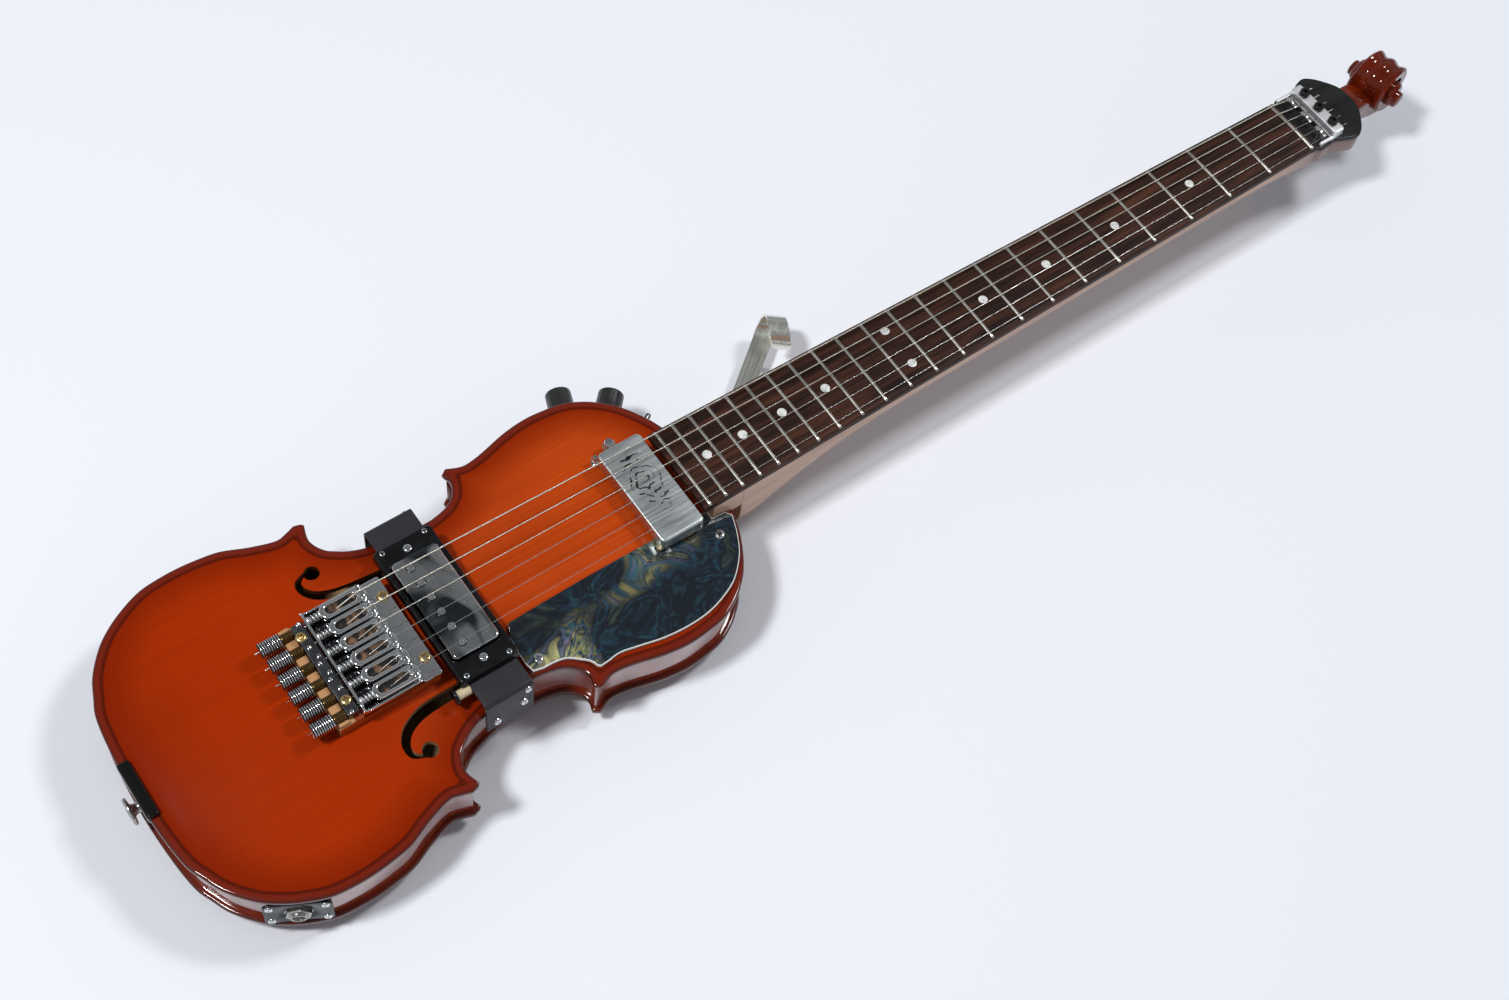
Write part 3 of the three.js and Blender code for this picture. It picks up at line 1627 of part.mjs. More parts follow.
function legRest() {
  const along = new THREE.Vector3(Math.cos(legAngle), Math.sin(legAngle), 0);
  const side = new THREE.Vector3(Math.sin(legAngle), -Math.cos(legAngle), 0);
  const low = legTop - legThickness;
  const hookSteps = 16;
  const section = (reach, z, inX, inZ, drift) => {
    const outer = new THREE.Vector3(legPivot, 0, z).addScaledVector(along, reach);
    outer.addScaledVector(side, drift);
    const inner = outer.clone().addScaledVector(along, inX * legThickness);
    inner.z += inZ * legThickness;
    const half = side.clone().multiplyScalar(legWidth / 2);
    return [
      outer.clone().add(half),
      outer.clone().sub(half),
      inner.clone().sub(half),
      inner.clone().add(half),
    ];
  };
  const rings = [section(0, low, 0, 1, 0), section(legLength, low, 0, 1, 0)];
  for (let i = 1; i <= hookSteps; i += 1) {
    const turn = legHookTurn * i / hookSteps;
    const reach = legLength + legHookRadius * Math.sin(turn);
    const z = low + legHookRadius * (1 - Math.cos(turn));
    const drift = legHookDrift * (i / hookSteps) ** 2;
    rings.push(section(reach, z, -Math.sin(turn), Math.cos(turn), drift));
  }
  const pivotEnd = rod(
    new THREE.Vector3(legPivot, 0, low),
    new THREE.Vector3(legPivot, 0, legTop),
    legWidth / 2,
    18,
  );
  const hole = rod(
    new THREE.Vector3(legPivot, 0, low - overrun),
    new THREE.Vector3(legPivot, 0, legTop + overrun),
    legScrewRadius + seatGap,
    14,
  );
  return loft(rings).add(pivotEnd).subtract(hole);
}

function legScrew() {
  const head = legTop - legThickness - seatGap;
  const profile = [
    [0, head - legScrewHeadHeight],
    [legScrewHeadRadius / 2, head - legScrewHeadHeight],
    [legScrewHeadRadius, head - legScrewHeadHeight / 2],
    [legScrewHeadRadius, head],
    [legScrewRadius, head],
    [legScrewRadius, head + legScrewLength],
    [0, head + legScrewLength],
  ];
  const geometry = new THREE.LatheGeometry(profile.map(([r, z]) => new THREE.Vector2(r, z)), 16);
  geometry.rotateX(Math.PI / 2);
  geometry.translate(legPivot, 0, 0);
  return toSolid(geometry);
}

function buildLegRest() {
  addPiece('leg_rest', legRest(), finish(0x96968c, 0.3, 1));
  addPiece('leg_rest_screw', legScrew(), chrome);
}

buildBody();
buildNeck();
buildStrings();
buildClamp();
buildBridge();
buildPickups();
buildTail();
buildControls();
buildLegRest();

// Set the finished guitar down with the middle of its base box at the origin
const bounds = new THREE.Box3().setFromObject(root);
root.position.set(
  -(bounds.min.x + bounds.max.x) / 2,
  -(bounds.min.y + bounds.max.y) / 2,
  -bounds.min.z,
);

export default root;
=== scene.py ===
import math

import bmesh
import bpy
import numpy as np
from mathutils import Matrix, Vector, geometry


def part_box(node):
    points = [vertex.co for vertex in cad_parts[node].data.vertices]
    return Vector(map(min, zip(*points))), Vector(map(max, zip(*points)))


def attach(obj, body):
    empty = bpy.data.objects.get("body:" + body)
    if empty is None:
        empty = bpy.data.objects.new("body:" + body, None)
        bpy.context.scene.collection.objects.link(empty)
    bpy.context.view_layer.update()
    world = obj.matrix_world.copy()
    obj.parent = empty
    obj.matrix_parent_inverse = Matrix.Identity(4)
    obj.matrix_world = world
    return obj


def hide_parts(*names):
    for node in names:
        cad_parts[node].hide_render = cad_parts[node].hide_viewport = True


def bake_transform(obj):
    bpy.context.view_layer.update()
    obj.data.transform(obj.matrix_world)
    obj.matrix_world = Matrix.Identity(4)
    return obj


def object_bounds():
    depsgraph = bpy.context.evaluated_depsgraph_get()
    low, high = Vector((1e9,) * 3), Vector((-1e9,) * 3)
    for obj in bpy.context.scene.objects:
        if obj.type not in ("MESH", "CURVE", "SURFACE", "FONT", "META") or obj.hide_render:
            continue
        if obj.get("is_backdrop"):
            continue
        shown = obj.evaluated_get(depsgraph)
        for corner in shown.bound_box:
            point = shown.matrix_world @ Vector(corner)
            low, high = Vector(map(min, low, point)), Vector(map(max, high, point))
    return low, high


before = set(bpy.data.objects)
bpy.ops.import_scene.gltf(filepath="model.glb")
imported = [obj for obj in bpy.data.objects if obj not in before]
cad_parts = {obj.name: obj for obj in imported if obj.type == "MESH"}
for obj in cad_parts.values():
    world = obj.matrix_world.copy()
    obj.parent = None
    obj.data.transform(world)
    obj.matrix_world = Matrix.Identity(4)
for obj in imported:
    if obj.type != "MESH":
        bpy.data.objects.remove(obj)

# Camera, floor and lamps
# The instrument lies on its back on a pale floor under soft lamps. Places are given in millimetres
# from the middle of the zero fret, as the instrument is measured, and at() turns them into the frame.
cad_box = [list(corner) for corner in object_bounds()]
MM = 0.001
BOARD_LOW = -5.2
nut_low, nut_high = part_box("nut_bar")
NUT = Vector(((nut_low.x + nut_high.x) / 2, 0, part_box("fingerboard")[0].z - BOARD_LOW * MM))


def at(x, y, z):
    return Vector((NUT.x + x * MM, NUT.y + y * MM, NUT.z + z * MM))


SENSOR = 36
FOCAL_PIXELS = 2129.729
PICTURE_WIDTH = 1509
camera_data = bpy.data.cameras.new("camera")
camera_data.sensor_fit = "HORIZONTAL"
camera_data.sensor_width = SENSOR
camera_data.lens = SENSOR * FOCAL_PIXELS / PICTURE_WIDTH
camera_data.clip_start = 0.01
camera = bpy.data.objects.new("camera", camera_data)
bpy.context.scene.collection.objects.link(camera)
camera_right = Vector((0.81087952, -0.57824103, 0.09006504))
camera_down = Vector((-0.46718868, -0.73231492, -0.4954287))
camera_ahead = Vector((0.35243318, 0.35965562, -0.86396683))
camera_turn = Matrix((camera_right, -camera_down, -camera_ahead)).transposed().to_4x4()
camera.matrix_world = Matrix.Translation(at(-857.2216, -459.5426, 1012.0881)) @ camera_turn
bpy.context.scene.camera = camera

FLOOR_HALF = 6.0
floor_mesh = bpy.data.meshes.new("floor")
floor_corners = [(-1, -1), (1, -1), (1, 1), (-1, 1)]
floor_mesh.from_pydata([(x * FLOOR_HALF, y * FLOOR_HALF, cad_box[0][2]) for x, y in floor_corners], [], [(0, 1, 2, 3)])
floor = bpy.data.objects.new("floor", floor_mesh)
bpy.context.scene.collection.objects.link(floor)
floor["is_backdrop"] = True


def linear(red, green, blue):
    """A colour given as 0 to 255 screen values, as the renderer wants it."""
    def channel(value):
        value = value / 255
        return value / 12.92 if value <= 0.04045 else ((value + 0.055) / 1.055) ** 2.4
    return (channel(red), channel(green), channel(blue), 1.0)


def plug(tree, node, inputs):
    """Sets inputs of a node to values or outputs: by name, with _ for a blank, or by n and a number."""
    for key, value in inputs.items():
        numbered = key[0] == "n" and key[1:].isdigit()
        socket = node.inputs[int(key[1:]) if numbered else key.replace("_", " ")]
        if isinstance(value, bpy.types.NodeSocket):
            tree.links.new(value, socket)
        else:
            socket.default_value = value
    return node


def dress(material, **sockets):
    """Sets sockets of the main shader of a finish."""
    plug(material.node_tree, material.node_tree.nodes["Principled BSDF"], sockets)
    return material


def finish(name, color, roughness, metallic=0.0, coat=0.0, **sockets):
    """A new material with its main shader, ready for detail nodes."""
    material = bpy.data.materials.new(name)
    material.use_nodes = True
    material.diffuse_color = linear(*color)
    sockets = {"Base_Color": linear(*color), "Coat_Weight": coat, "Coat_Roughness": 0.05, **sockets}
    return dress(material, Roughness=roughness, Metallic=metallic, **sockets)


floor_mesh.materials.append(finish("floor", (229, 232, 239), 0.9))

world = bpy.data.worlds.new("room")
bpy.context.scene.world = world
world.use_nodes = True
room = world.node_tree
direction = room.nodes.new("ShaderNodeTexCoord").outputs["Generated"]
height = plug(room, room.nodes.new("ShaderNodeSeparateXYZ"), {"Vector": direction}).outputs["Z"]
walls = plug(room, room.nodes.new("ShaderNodeValToRGB"), {"Fac": height})
plug(room, room.nodes["Background"], {"Color": walls.outputs["Color"]})
wall_stops = walls.color_ramp.elements
wall_stops[0].position, wall_stops[0].color = 0.05, linear(58, 59, 62)
wall_stops[1].position, wall_stops[1].color = 0.85, linear(112, 114, 117)
wall_stops.new(0.35).color = linear(168, 170, 175)
wall_stops.new(0.58).color = linear(158, 161, 165)


def lamp(name, place, width, power, target):
    """A square soft lamp that faces its target."""
    data = bpy.data.lights.new(name, "AREA")
    data.shape = "RECTANGLE"
    data.size = data.size_y = width
    data.energy = power
    light = bpy.data.objects.new(name, data)
    bpy.context.scene.collection.objects.link(light)
    light.location = place
    light.rotation_euler = (Vector(target) - Vector(place)).to_track_quat("-Z", "Y").to_euler()


lamp("key", (-1.68, 0.29, 2.9), 0.42, 69, (-0.1, 0, 0))
lamp("fill", (1.9, -0.3, 3.0), 0.6, 46, (0, 0, 0))
bpy.context.scene.view_settings.view_transform = "Standard"

# Belly and back
# Two carved plates with rounded edges, the spruce belly pierced by two sound holes. Each is a fine
# skin over the outline of the body, swelling to its arch, with an inlaid line along the edge.
TAIL = -802.0
BODY_LENGTH = 356.0
BODY_TOP = TAIL + BODY_LENGTH
HALF_BODY = 103.0
PLATE_TOP = -19.0
BACK_TOP = -50.9
BACK_BOTTOM = -54.9
EDGE_THICKNESS = 4.0
CENTRE_THICKNESS = 3.0
EDGE_ROUND = 1.3
OVERHANG = 2.8
PLATE_GRID = 3.2
TOP_RISE = 10.5
BACK_RISE = 11.5
ARCH_START = 11.0
ARCH_FULLNESS = 0.6
ARCH_FLAT = 0.92
REST_FLAT = 0.5
NO_FLOOR = -1000
LOWER_BOUT = [
    (0.01, 0.466), (0.021, 0.568), (0.035, 0.675), (0.065, 0.806), (0.087, 0.869), (0.115, 0.927),
    (0.157, 0.985), (0.197, 1), (0.225, 1), (0.256, 0.99), (0.287, 0.971), (0.331, 0.908),
    (0.371, 0.869), (0.385, 0.88), (0.402, 0.899),
]
LOWER_CORNER = (0.413, 0.888)
WAIST = [
    (0.417, 0.873), (0.4115, 0.816), (0.41, 0.777), (0.414, 0.728), (0.423, 0.68), (0.433, 0.653),
    (0.447, 0.621), (0.471, 0.587), (0.534, 0.539), (0.57, 0.541), (0.587, 0.544), (0.618, 0.573),
    (0.636, 0.627), (0.643, 0.689), (0.636, 0.754),
]
UPPER_BOUT = [
    (0.649, 0.772), (0.674, 0.738), (0.697, 0.743), (0.716, 0.757), (0.761, 0.796), (0.801, 0.812),
    (0.834, 0.806), (0.871, 0.784), (0.904, 0.727), (0.921, 0.682), (0.941, 0.612), (0.963, 0.495),
    (0.979, 0.369),
]
ARCH_FIELD = [
    (0, 0.45), (0.03, 0.62), (0.08, 0.84), (0.15, 0.97), (0.22, 1), (0.3, 0.95), (0.38, 0.8),
    (0.46, 0.6), (0.54, 0.535), (0.6, 0.56), (0.66, 0.66), (0.74, 0.77), (0.82, 0.8), (0.9, 0.71),
    (0.95, 0.56), (1, 0.35),
]
HOLE_LINE = [
    (0.374, 0.612, 0.2), (0.358, 0.575, 0.4), (0.357, 0.522, 0.5), (0.368, 0.462, 0.62),
    (0.39, 0.42, 0.7), (0.412, 0.402, 0.75), (0.46, 0.392, 0.7), (0.51, 0.378, 0.68),
    (0.54, 0.35, 0.55), (0.556, 0.3, 0.4), (0.558, 0.24, 0.2),
]
HOLE_EYES = [(0.384, 0.594, 4.5), (0.558, 0.213, 3.2)]


def smooth_line(points, count):
    """Evenly spaced points on a smooth curve through points, without overshoot."""
    knots = np.array(points, float)
    knots = np.vstack([2 * knots[0] - knots[1], knots, 2 * knots[-1] - knots[-2]])
    fine = []
    for i in range(1, len(knots) - 2):
        p = knots[i - 1:i + 3]
        gaps = np.maximum(np.linalg.norm(np.diff(p, axis=0), axis=1) ** 0.5, 1e-6)
        t = np.concatenate([[0], np.cumsum(gaps)])
        for s in np.linspace(t[1], t[2], 24, endpoint=False):
            a = [((t[k + 1] - s) * p[k] + (s - t[k]) * p[k + 1]) / (t[k + 1] - t[k]) for k in range(3)]
            b = [((t[k + 2] - s) * a[k] + (s - t[k]) * a[k + 1]) / (t[k + 2] - t[k]) for k in range(2)]
            fine.append(((t[2] - s) * b[0] + (s - t[1]) * b[1]) / (t[2] - t[1]))
    fine = np.array(fine + [knots[-2]])
    run = np.concatenate([[0], np.cumsum(np.linalg.norm(np.diff(fine, axis=0), axis=1))])
    even = np.linspace(0, run[-1], count)
    return np.stack([np.interp(even, run, column) for column in fine.T], axis=1)


def body_points(shares, side):
    """Places on the body, given as shares of its length and of its half width."""
    return [(TAIL + along * BODY_LENGTH, side * out * HALF_BODY) for along, out in shares]


def both_sides(shares, middle, count):
    """A curve from the treble side over a point on the centre line to the bass side."""
    return smooth_line(body_points(shares, -1)[::-1] + [(middle, 0)] + body_points(shares, 1), count)


lower_line = both_sides(LOWER_BOUT, TAIL, 260)
upper_line = both_sides(UPPER_BOUT[::-1], BODY_TOP, 200) * (1, -1)
bass_waist = smooth_line(body_points(WAIST, 1), 110)
treble_waist = bass_waist[::-1] * (1, -1)
corner = np.array(body_points([LOWER_CORNER], 1))
body_outline = np.vstack([lower_line, corner, bass_waist, upper_line, treble_waist, corner * (1, -1)])


def inset(line, distance, closed=False):
    """A line moved to its right-hand side, which is the inside of the body."""
    if closed:
        before, after = np.roll(line, 1, axis=0), np.roll(line, -1, axis=0)
    else:
        before, after = np.vstack([line[:1], line[:-1]]), np.vstack([line[1:], line[-1:]])
    along = after - before
    along /= np.maximum(np.linalg.norm(along, axis=1, keepdims=True), 1e-9)
    return line + np.stack([along[:, 1], -along[:, 0]], axis=1) * distance


arch_share = np.linspace(0, 1, 241)
arch_width = np.interp(arch_share, *np.array(ARCH_FIELD).T)
arch_width = np.convolve(np.pad(arch_width, 12, mode="edge"), np.hanning(25) / np.hanning(25).sum(), mode="valid")


def arch(x, y):
    """How far the arch has risen, 0 at the edge and 1 at the crown."""
    along = (x - TAIL - ARCH_START) / (BODY_LENGTH - 2 * ARCH_START)
    half = np.interp((x - TAIL) / BODY_LENGTH, arch_share, arch_width) * HALF_BODY * ARCH_FLAT
    lift = np.sin(np.pi * np.clip(along, 0, 1)) ** ARCH_FULLNESS
    return lift * (1 + np.cos(np.pi * np.minimum(np.abs(y) / half, 1))) / 2


def distance_to(points, line):
    gaps = points[:, None, :] - line[None, :, :]
    return np.sqrt((gaps ** 2).sum(axis=2)).min(axis=1)


def inside(points, loop):
    x, y = points[:, 0][:, None], points[:, 1][:, None]
    x0, y0 = loop[:, 0][None, :], loop[:, 1][None, :]
    x1, y1 = np.roll(x0, -1, axis=1), np.roll(y0, -1, axis=1)
    reach = x0 + (y - y0) * (x1 - x0) / np.where(y1 == y0, 1e-12, y1 - y0)
    return (((y0 > y) != (y1 > y)) & (x < reach)).sum(axis=1) % 2 == 1


def circle(radius, count=40, turn=0.0):
    """Points round the origin. A pair for the radius gives an oval."""
    turns = np.linspace(0, 2 * np.pi, count, endpoint=False) + turn
    return np.stack([np.cos(turns), np.sin(turns)], axis=1) * radius


def triangulate(loops, extra, error):
    """Triangles of loops and loose points, with the places they use and where each comes from."""
    points = np.vstack(list(loops) + [extra])
    edges, start = [], 0
    for loop in loops:
        edges += [(start + i, start + (i + 1) % len(loop)) for i in range(len(loop))]
        start += len(loop)
    centre = points.mean(axis=0)
    found = geometry.delaunay_2d_cdt([Vector(p) for p in points - centre], edges, [], 1, error)
    faces = np.array([face for face in found[2] if len(face) == 3])
    return points, faces, np.array([tuple(place) for place in found[0]]) + centre, found[3]


def open_edges(faces):
    """The edges of triangles that no neighbour shares, in their direction."""
    pairs = {(face[i], face[(i + 1) % 3]): None for face in faces.tolist() for i in range(3)}
    return [pair for pair in pairs if pair[::-1] not in pairs]


def sound_hole(side):
    """One closed loop round a sound hole, stem and both eyes together."""
    widths = HOLE_EYES[0][2]
    line = smooth_line([(TAIL + a * BODY_LENGTH, side * b * HALF_BODY, c * widths) for a, b, c in HOLE_LINE], 70)
    centre, half = line[:, :2], line[:, 2:]
    along = np.gradient(centre, axis=0)
    along /= np.linalg.norm(along, axis=1, keepdims=True)
    across = np.stack([-along[:, 1], along[:, 0]], axis=1) * half
    shapes = [np.vstack([centre + across, (centre - across)[::-1]])]
    shapes += [body_points([(share, out)], side) + circle(radius) for share, out, radius in HOLE_EYES]
    places, faces = triangulate(shapes, np.zeros((0, 2)), 1e-4)[2:0:-1]
    middles = places[faces].mean(axis=1)
    onward = dict(open_edges(faces[np.any([inside(middles, shape) for shape in shapes], axis=0)]))
    loop = [min(onward)]
    while onward[loop[-1]] != loop[0]:
        loop.append(onward[loop[-1]])
    return places[loop]


def make_mesh(name, vertices, faces, finishes, slots, sharp=40, origin=NUT):
    """A new piece from points in millimetres from the zero fret, with its normals turned out."""
    mesh = bpy.data.meshes.new(name)
    places = np.array(vertices, float) * MM + np.array(origin)
    mesh.from_pydata(places.tolist(), [], [tuple(map(int, face)) for face in faces])
    for material in finishes:
        mesh.materials.append(material)
    mesh.polygons.foreach_set("material_index", slots)
    mesh.polygons.foreach_set("use_smooth", [True] * len(mesh.polygons))
    mesh.validate()
    tool = bmesh.new()
    tool.from_mesh(mesh)
    bmesh.ops.recalc_face_normals(tool, faces=tool.faces)
    tool.to_mesh(mesh)
    tool.free()
    mesh.set_sharp_from_angle(angle=math.radians(sharp))
    piece = bpy.data.objects.new(name, mesh)
    bpy.context.scene.collection.objects.link(piece)
    return piece


def fasten(piece, stands_for=None, body="guitar"):
    """The piece rides on a body and may stand for a node."""
    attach(piece, body)
    if stands_for:
        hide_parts(stands_for)
    return piece


def fill(loops, extra=np.zeros((0, 2))):
    """Triangles between the first loop and the loops inside it, as numbers of their points."""
    points, faces, places, sources = triangulate(loops, extra, 1e-5)
    faces = np.array([ids[0] if ids else -1 for ids in sources])[faces]
    faces = faces[(faces >= 0).all(axis=1)]
    middles = points[faces].mean(axis=1)
    keep = inside(middles, loops[0])
    for loop in loops[1:]:
        keep &= ~inside(middles, loop)
    return faces[keep]


def plate(name, low, low_rise, high, high_rise, holes, floor_level, finishes, inner):
    """A carved plate: two arched skins over the outline, the inner one bare, joined by a rounded rim."""
    rim = inset(body_outline, EDGE_ROUND, closed=True)
    rows = enumerate(np.arange(-HALF_BODY, HALF_BODY, PLATE_GRID))
    columns = np.arange(TAIL, BODY_TOP, PLATE_GRID)
    grid = np.array([(x + (j % 2) * PLATE_GRID / 2, y) for j, y in rows for x in columns])
    grid = grid[inside(grid, body_outline)]
    grid = grid[distance_to(grid, body_outline) > EDGE_ROUND + PLATE_GRID * 0.6]
    for loop in holes:
        grid = grid[~inside(grid, loop) & (distance_to(grid, loop) > PLATE_GRID * 0.4)]
    flat = np.vstack([rim, *holes, grid])
    faces = fill([rim, *holes], grid)
    first, second = flat[faces[:, 1]] - flat[faces[:, 0]], flat[faces[:, 2]] - flat[faces[:, 0]]
    clockwise = first[:, 0] * second[:, 1] < first[:, 1] * second[:, 0]
    faces = np.where(clockwise[:, None], faces[:, ::-1], faces)
    count = len(flat)
    lift = arch(flat[:, 0], flat[:, 1])
    upper = np.column_stack([flat, high + high_rise * lift])
    lower = np.column_stack([flat, np.maximum(low + low_rise * lift, floor_level)])
    vertices = np.vstack([upper, lower]).tolist()
    triangles = faces.tolist() + (faces[:, ::-1] + count).tolist()
    hidden = distance_to(flat, body_outline)[faces].min(axis=1) > OVERHANG
    slots = [int(under and inner == skin_number) for skin_number in (0, 1) for under in hidden]
    edges = open_edges(faces)
    at_rim = [pair for pair in edges if max(pair) < len(rim)]
    for a, b in set(edges) - set(at_rim):
        triangles += [(b, a, a + count), (b, a + count, b + count)]
        slots += [2, 2]
    outward = {}
    for a, b in at_rim:
        for i in (a, b):
            outward[i] = outward.get(i, 0) + flat[b] - flat[a]
    chains = {}
    for i, along in outward.items():
        out = np.array([along[1], -along[0]]) / max(np.linalg.norm(along), 1e-9)
        turns = [math.pi / 2 * n / 3 for n in (1, 2, 3)]
        bend = [(flat[i] + out * EDGE_ROUND * math.sin(t), EDGE_ROUND * (1 - math.cos(t))) for t in turns]
        chains[i] = [i, *range(len(vertices), len(vertices) + 6), i + count]
        vertices += [[*place, upper[i][2] - drop] for place, drop in bend]
        vertices += [[*place, lower[i][2] + drop] for place, drop in bend[::-1]]
    for a, b in at_rim:
        for a0, a1, b0, b1 in zip(chains[a], chains[a][1:], chains[b], chains[b][1:]):
            triangles += [(b0, a0, a1), (b0, a1, b1)]
            slots += [0, 0]
    piece = make_mesh(name, vertices, triangles, finishes, slots)
    places = np.array([vertex.co[:2] for vertex in piece.data.vertices])
    attribute = piece.data.attributes.new("edge", "FLOAT", "POINT")
    attribute.data.foreach_set("value", distance_to((places - NUT[:2]) / MM, body_outline))
    return piece


def add(material, kind, settings=None, **inputs):
    """A detail node of a finish; an input takes a number, a colour or another node's output."""
    node = material.node_tree.nodes.new("ShaderNode" + kind)
    for key, value in (settings or {}).items():
        setattr(node, key, value)
    return plug(material.node_tree, node, inputs)


def blend_in(material, base, over, amount):
    """One colour laid over another by an amount."""
    base, over = [linear(*tone) if isinstance(tone, tuple) else tone for tone in (base, over)]
    return add(material, "Mix", {"data_type": "RGBA"}, n0=amount, n6=base, n7=over).outputs[2]


def object_place(material, scale=(1, 1, 1)):
    place = add(material, "TexCoord")
    return add(material, "Mapping", Vector=place.outputs["Object"], Scale=scale).outputs["Vector"]


def share_of(material, value, low, high, to_low=0.0, to_high=1.0):
    """A value between two limits as a share, or carried over to two other limits."""
    limits = {"From_Min": low, "From_Max": high, "To_Min": to_low, "To_Max": to_high}
    return add(material, "MapRange", Value=value, **limits).outputs["Result"]


def span(material, axis, start, end, to_low=0.0, to_high=1.0):
    """A share that changes from one place to another along an axis, both in millimetres."""
    value = add(material, "SeparateXYZ", Vector=object_place(material)).outputs[axis]
    return share_of(material, value, NUT[axis] + start * MM, NUT[axis] + end * MM, to_low, to_high)


def noise(material, place, scale, detail, **inputs):
    return add(material, "TexNoise", Vector=place, Scale=scale, Detail=detail, **inputs).outputs["Fac"]


def relief(material, height, strength, distance=0.0003):
    return add(material, "Bump", Height=height, Strength=strength, Distance=distance).outputs["Normal"]


def color_bands(material, value, bands):
    """A colour ramp with one stop for each pair of a place and a colour or a grey share."""
    ramp = add(material, "ValToRGB", Fac=value)
    stops = ramp.color_ramp.elements
    stops[0].position, stops[1].position = bands[0][0], bands[-1][0]
    for position, _ in bands[1:-1]:
        stops.new(position)
    for stop, (_, tone) in zip(stops, bands):
        stop.color = linear(*tone) if isinstance(tone, tuple) else (tone, tone, tone, 1)
    return ramp.outputs["Color"]


def wood(name, color, dark, stretch, low, high, roughness, coat=0.0, bump=0.1, **sockets):
    """Grained wood: long streaks of a darker tone along x, with open pores."""
    material = finish(name, color, roughness, coat=coat, **sockets)
    grain = noise(material, object_place(material, stretch), 1.0, 5.0, Roughness=0.6)
    tone = blend_in(material, color, dark, share_of(material, grain, low, high))
    return dress(material, Base_Color=tone, Normal=relief(material, grain, bump))


def tone_over(material, tone, amount):
    """A tone laid over the one that a finish has."""
    base = material.node_tree.nodes["Principled BSDF"].inputs["Base Color"].links[0].from_socket
    dress(material, Base_Color=blend_in(material, base, tone, amount))


INLAY = [
    (0.0, 0.9), (0.14, 0.5), (0.26, 0.3), (0.41, 0.4), (0.44, 0.85), (0.47, 0.85), (0.49, 0.45), (0.51, 0.85),
    (0.55, 0.8), (0.62, 0.0),
]
INLAY_REACH = 10


def varnish(name, centre, worn, border, streak, grain_scale, edge_dark, roughness):
    """Varnish over grained wood, paler to the neck, glossy and dark on the rim, with the inlaid line."""
    material = finish(name, centre, roughness, Coat_Roughness=0.04, Specular_IOR_Level=0.05)
    edge = add(material, "Attribute", {"attribute_name": "edge"}).outputs["Fac"]
    tone = blend_in(material, centre, worn, span(material, 0, -680, -570))
    tone = blend_in(material, tone, border, span(material, 0, TAIL + 2, TAIL + 50, 0.7, 0.0))
    tone = blend_in(material, border, tone, share_of(material, edge, 3, 26))
    grain = noise(material, object_place(material, (6, grain_scale, 60)), 1.0, 3.0)
    tone = blend_in(material, tone, streak, share_of(material, grain, 0.35, 0.7, 0.0, 0.28))
    clouds = noise(material, object_place(material), 9.0, 2.0)
    tone = blend_in(material, tone, border, share_of(material, clouds, 0.4, 0.75, 0.0, 0.35))
    line = color_bands(material, share_of(material, edge, 0, INLAY_REACH), INLAY)
    return dress(
        material, Base_Color=blend_in(material, tone, edge_dark, line),
        Coat_Weight=share_of(material, edge, 2.6, 5.6, 0.9, 0.05), Normal=relief(material, grain, 0.05, 0.0004),
    )


belly_varnish = varnish("belly_varnish", (162, 46, 1), (184, 68, 16), (122, 28, 1), (130, 33, 1), 640, (60, 15, 4), 0.3)
back_varnish = varnish(
    "back_varnish", (158, 56, 18), (166, 62, 22), (120, 36, 12), (120, 44, 16), 160, (60, 20, 10), 0.25,
)
bare_spruce = wood("bare_spruce", (176, 142, 100), (132, 100, 66), (8, 300, 60), 0.4, 0.75, 0.75)
hole_stain_and_light = wood("hole_stain_and_light", (92, 44, 20), (56, 26, 12), (60, 300, 400), 0.4, 0.7, 0.4, coat=0.3)
# The hole walls are dark stained. The outer walls of the treble hole are painted pale tan: painted light falling into
# the hole.
tone_over(hole_stain_and_light, (176, 140, 102), span(hole_stain_and_light, 1, -46, -30, 0.9, 0.0))
carved_off = EDGE_THICKNESS - CENTRE_THICKNESS
belly = plate(
    "belly", PLATE_TOP - EDGE_THICKNESS, TOP_RISE + carved_off, PLATE_TOP, TOP_RISE,
    [sound_hole(1), sound_hole(-1)], NO_FLOOR, [belly_varnish, bare_spruce, hole_stain_and_light], 1,
)
fasten(belly, "top_plate")
back = plate(
    "back", BACK_BOTTOM, -BACK_RISE, BACK_TOP, -BACK_RISE - carved_off,
    [], BACK_BOTTOM - BACK_RISE + REST_FLAT, [back_varnish, bare_spruce], 0,
)
fasten(back, "back_plate")

# Ribs
# Thin maple strips under red-brown varnish, bent to the outline and glued between the plates. The
# waist ribs butt against the insides of the others at the four corners.
RIB_LOW = BACK_TOP
RIB_HIGH = PLATE_TOP - EDGE_THICKNESS
RIB_THICKNESS = 1.6
TENON_HALF = 12.0


def ring_offset(loop, distance):
    """A closed loop moved outward by a distance, with mitred corners."""
    ahead = np.roll(loop, -1, axis=0) - loop
    ahead = ahead / np.maximum(np.linalg.norm(ahead, axis=1, keepdims=True), 1e-9)
    turning = np.sum(loop[:, 0] * np.roll(loop[:, 1], -1) - np.roll(loop[:, 0], -1) * loop[:, 1])
    out = np.sign(turning) * np.stack([ahead[:, 1], -ahead[:, 0]], axis=1)
    both = out + np.roll(out, 1, axis=0)
    return loop + both / np.maximum((both ** 2).sum(axis=1, keepdims=True) / 2, 0.3) * distance


def bands(start, rows, count, closed=False):
    """Four-sided faces between rows of points that follow each other, each row a closed loop."""
    faces = []
    for k in range(rows if closed else rows - 1):
        a, b = start + k * count, start + (k + 1) % rows * count
        faces += [(a + i, a + (i + 1) % count, b + (i + 1) % count, b + i) for i in range(count)]
    return faces


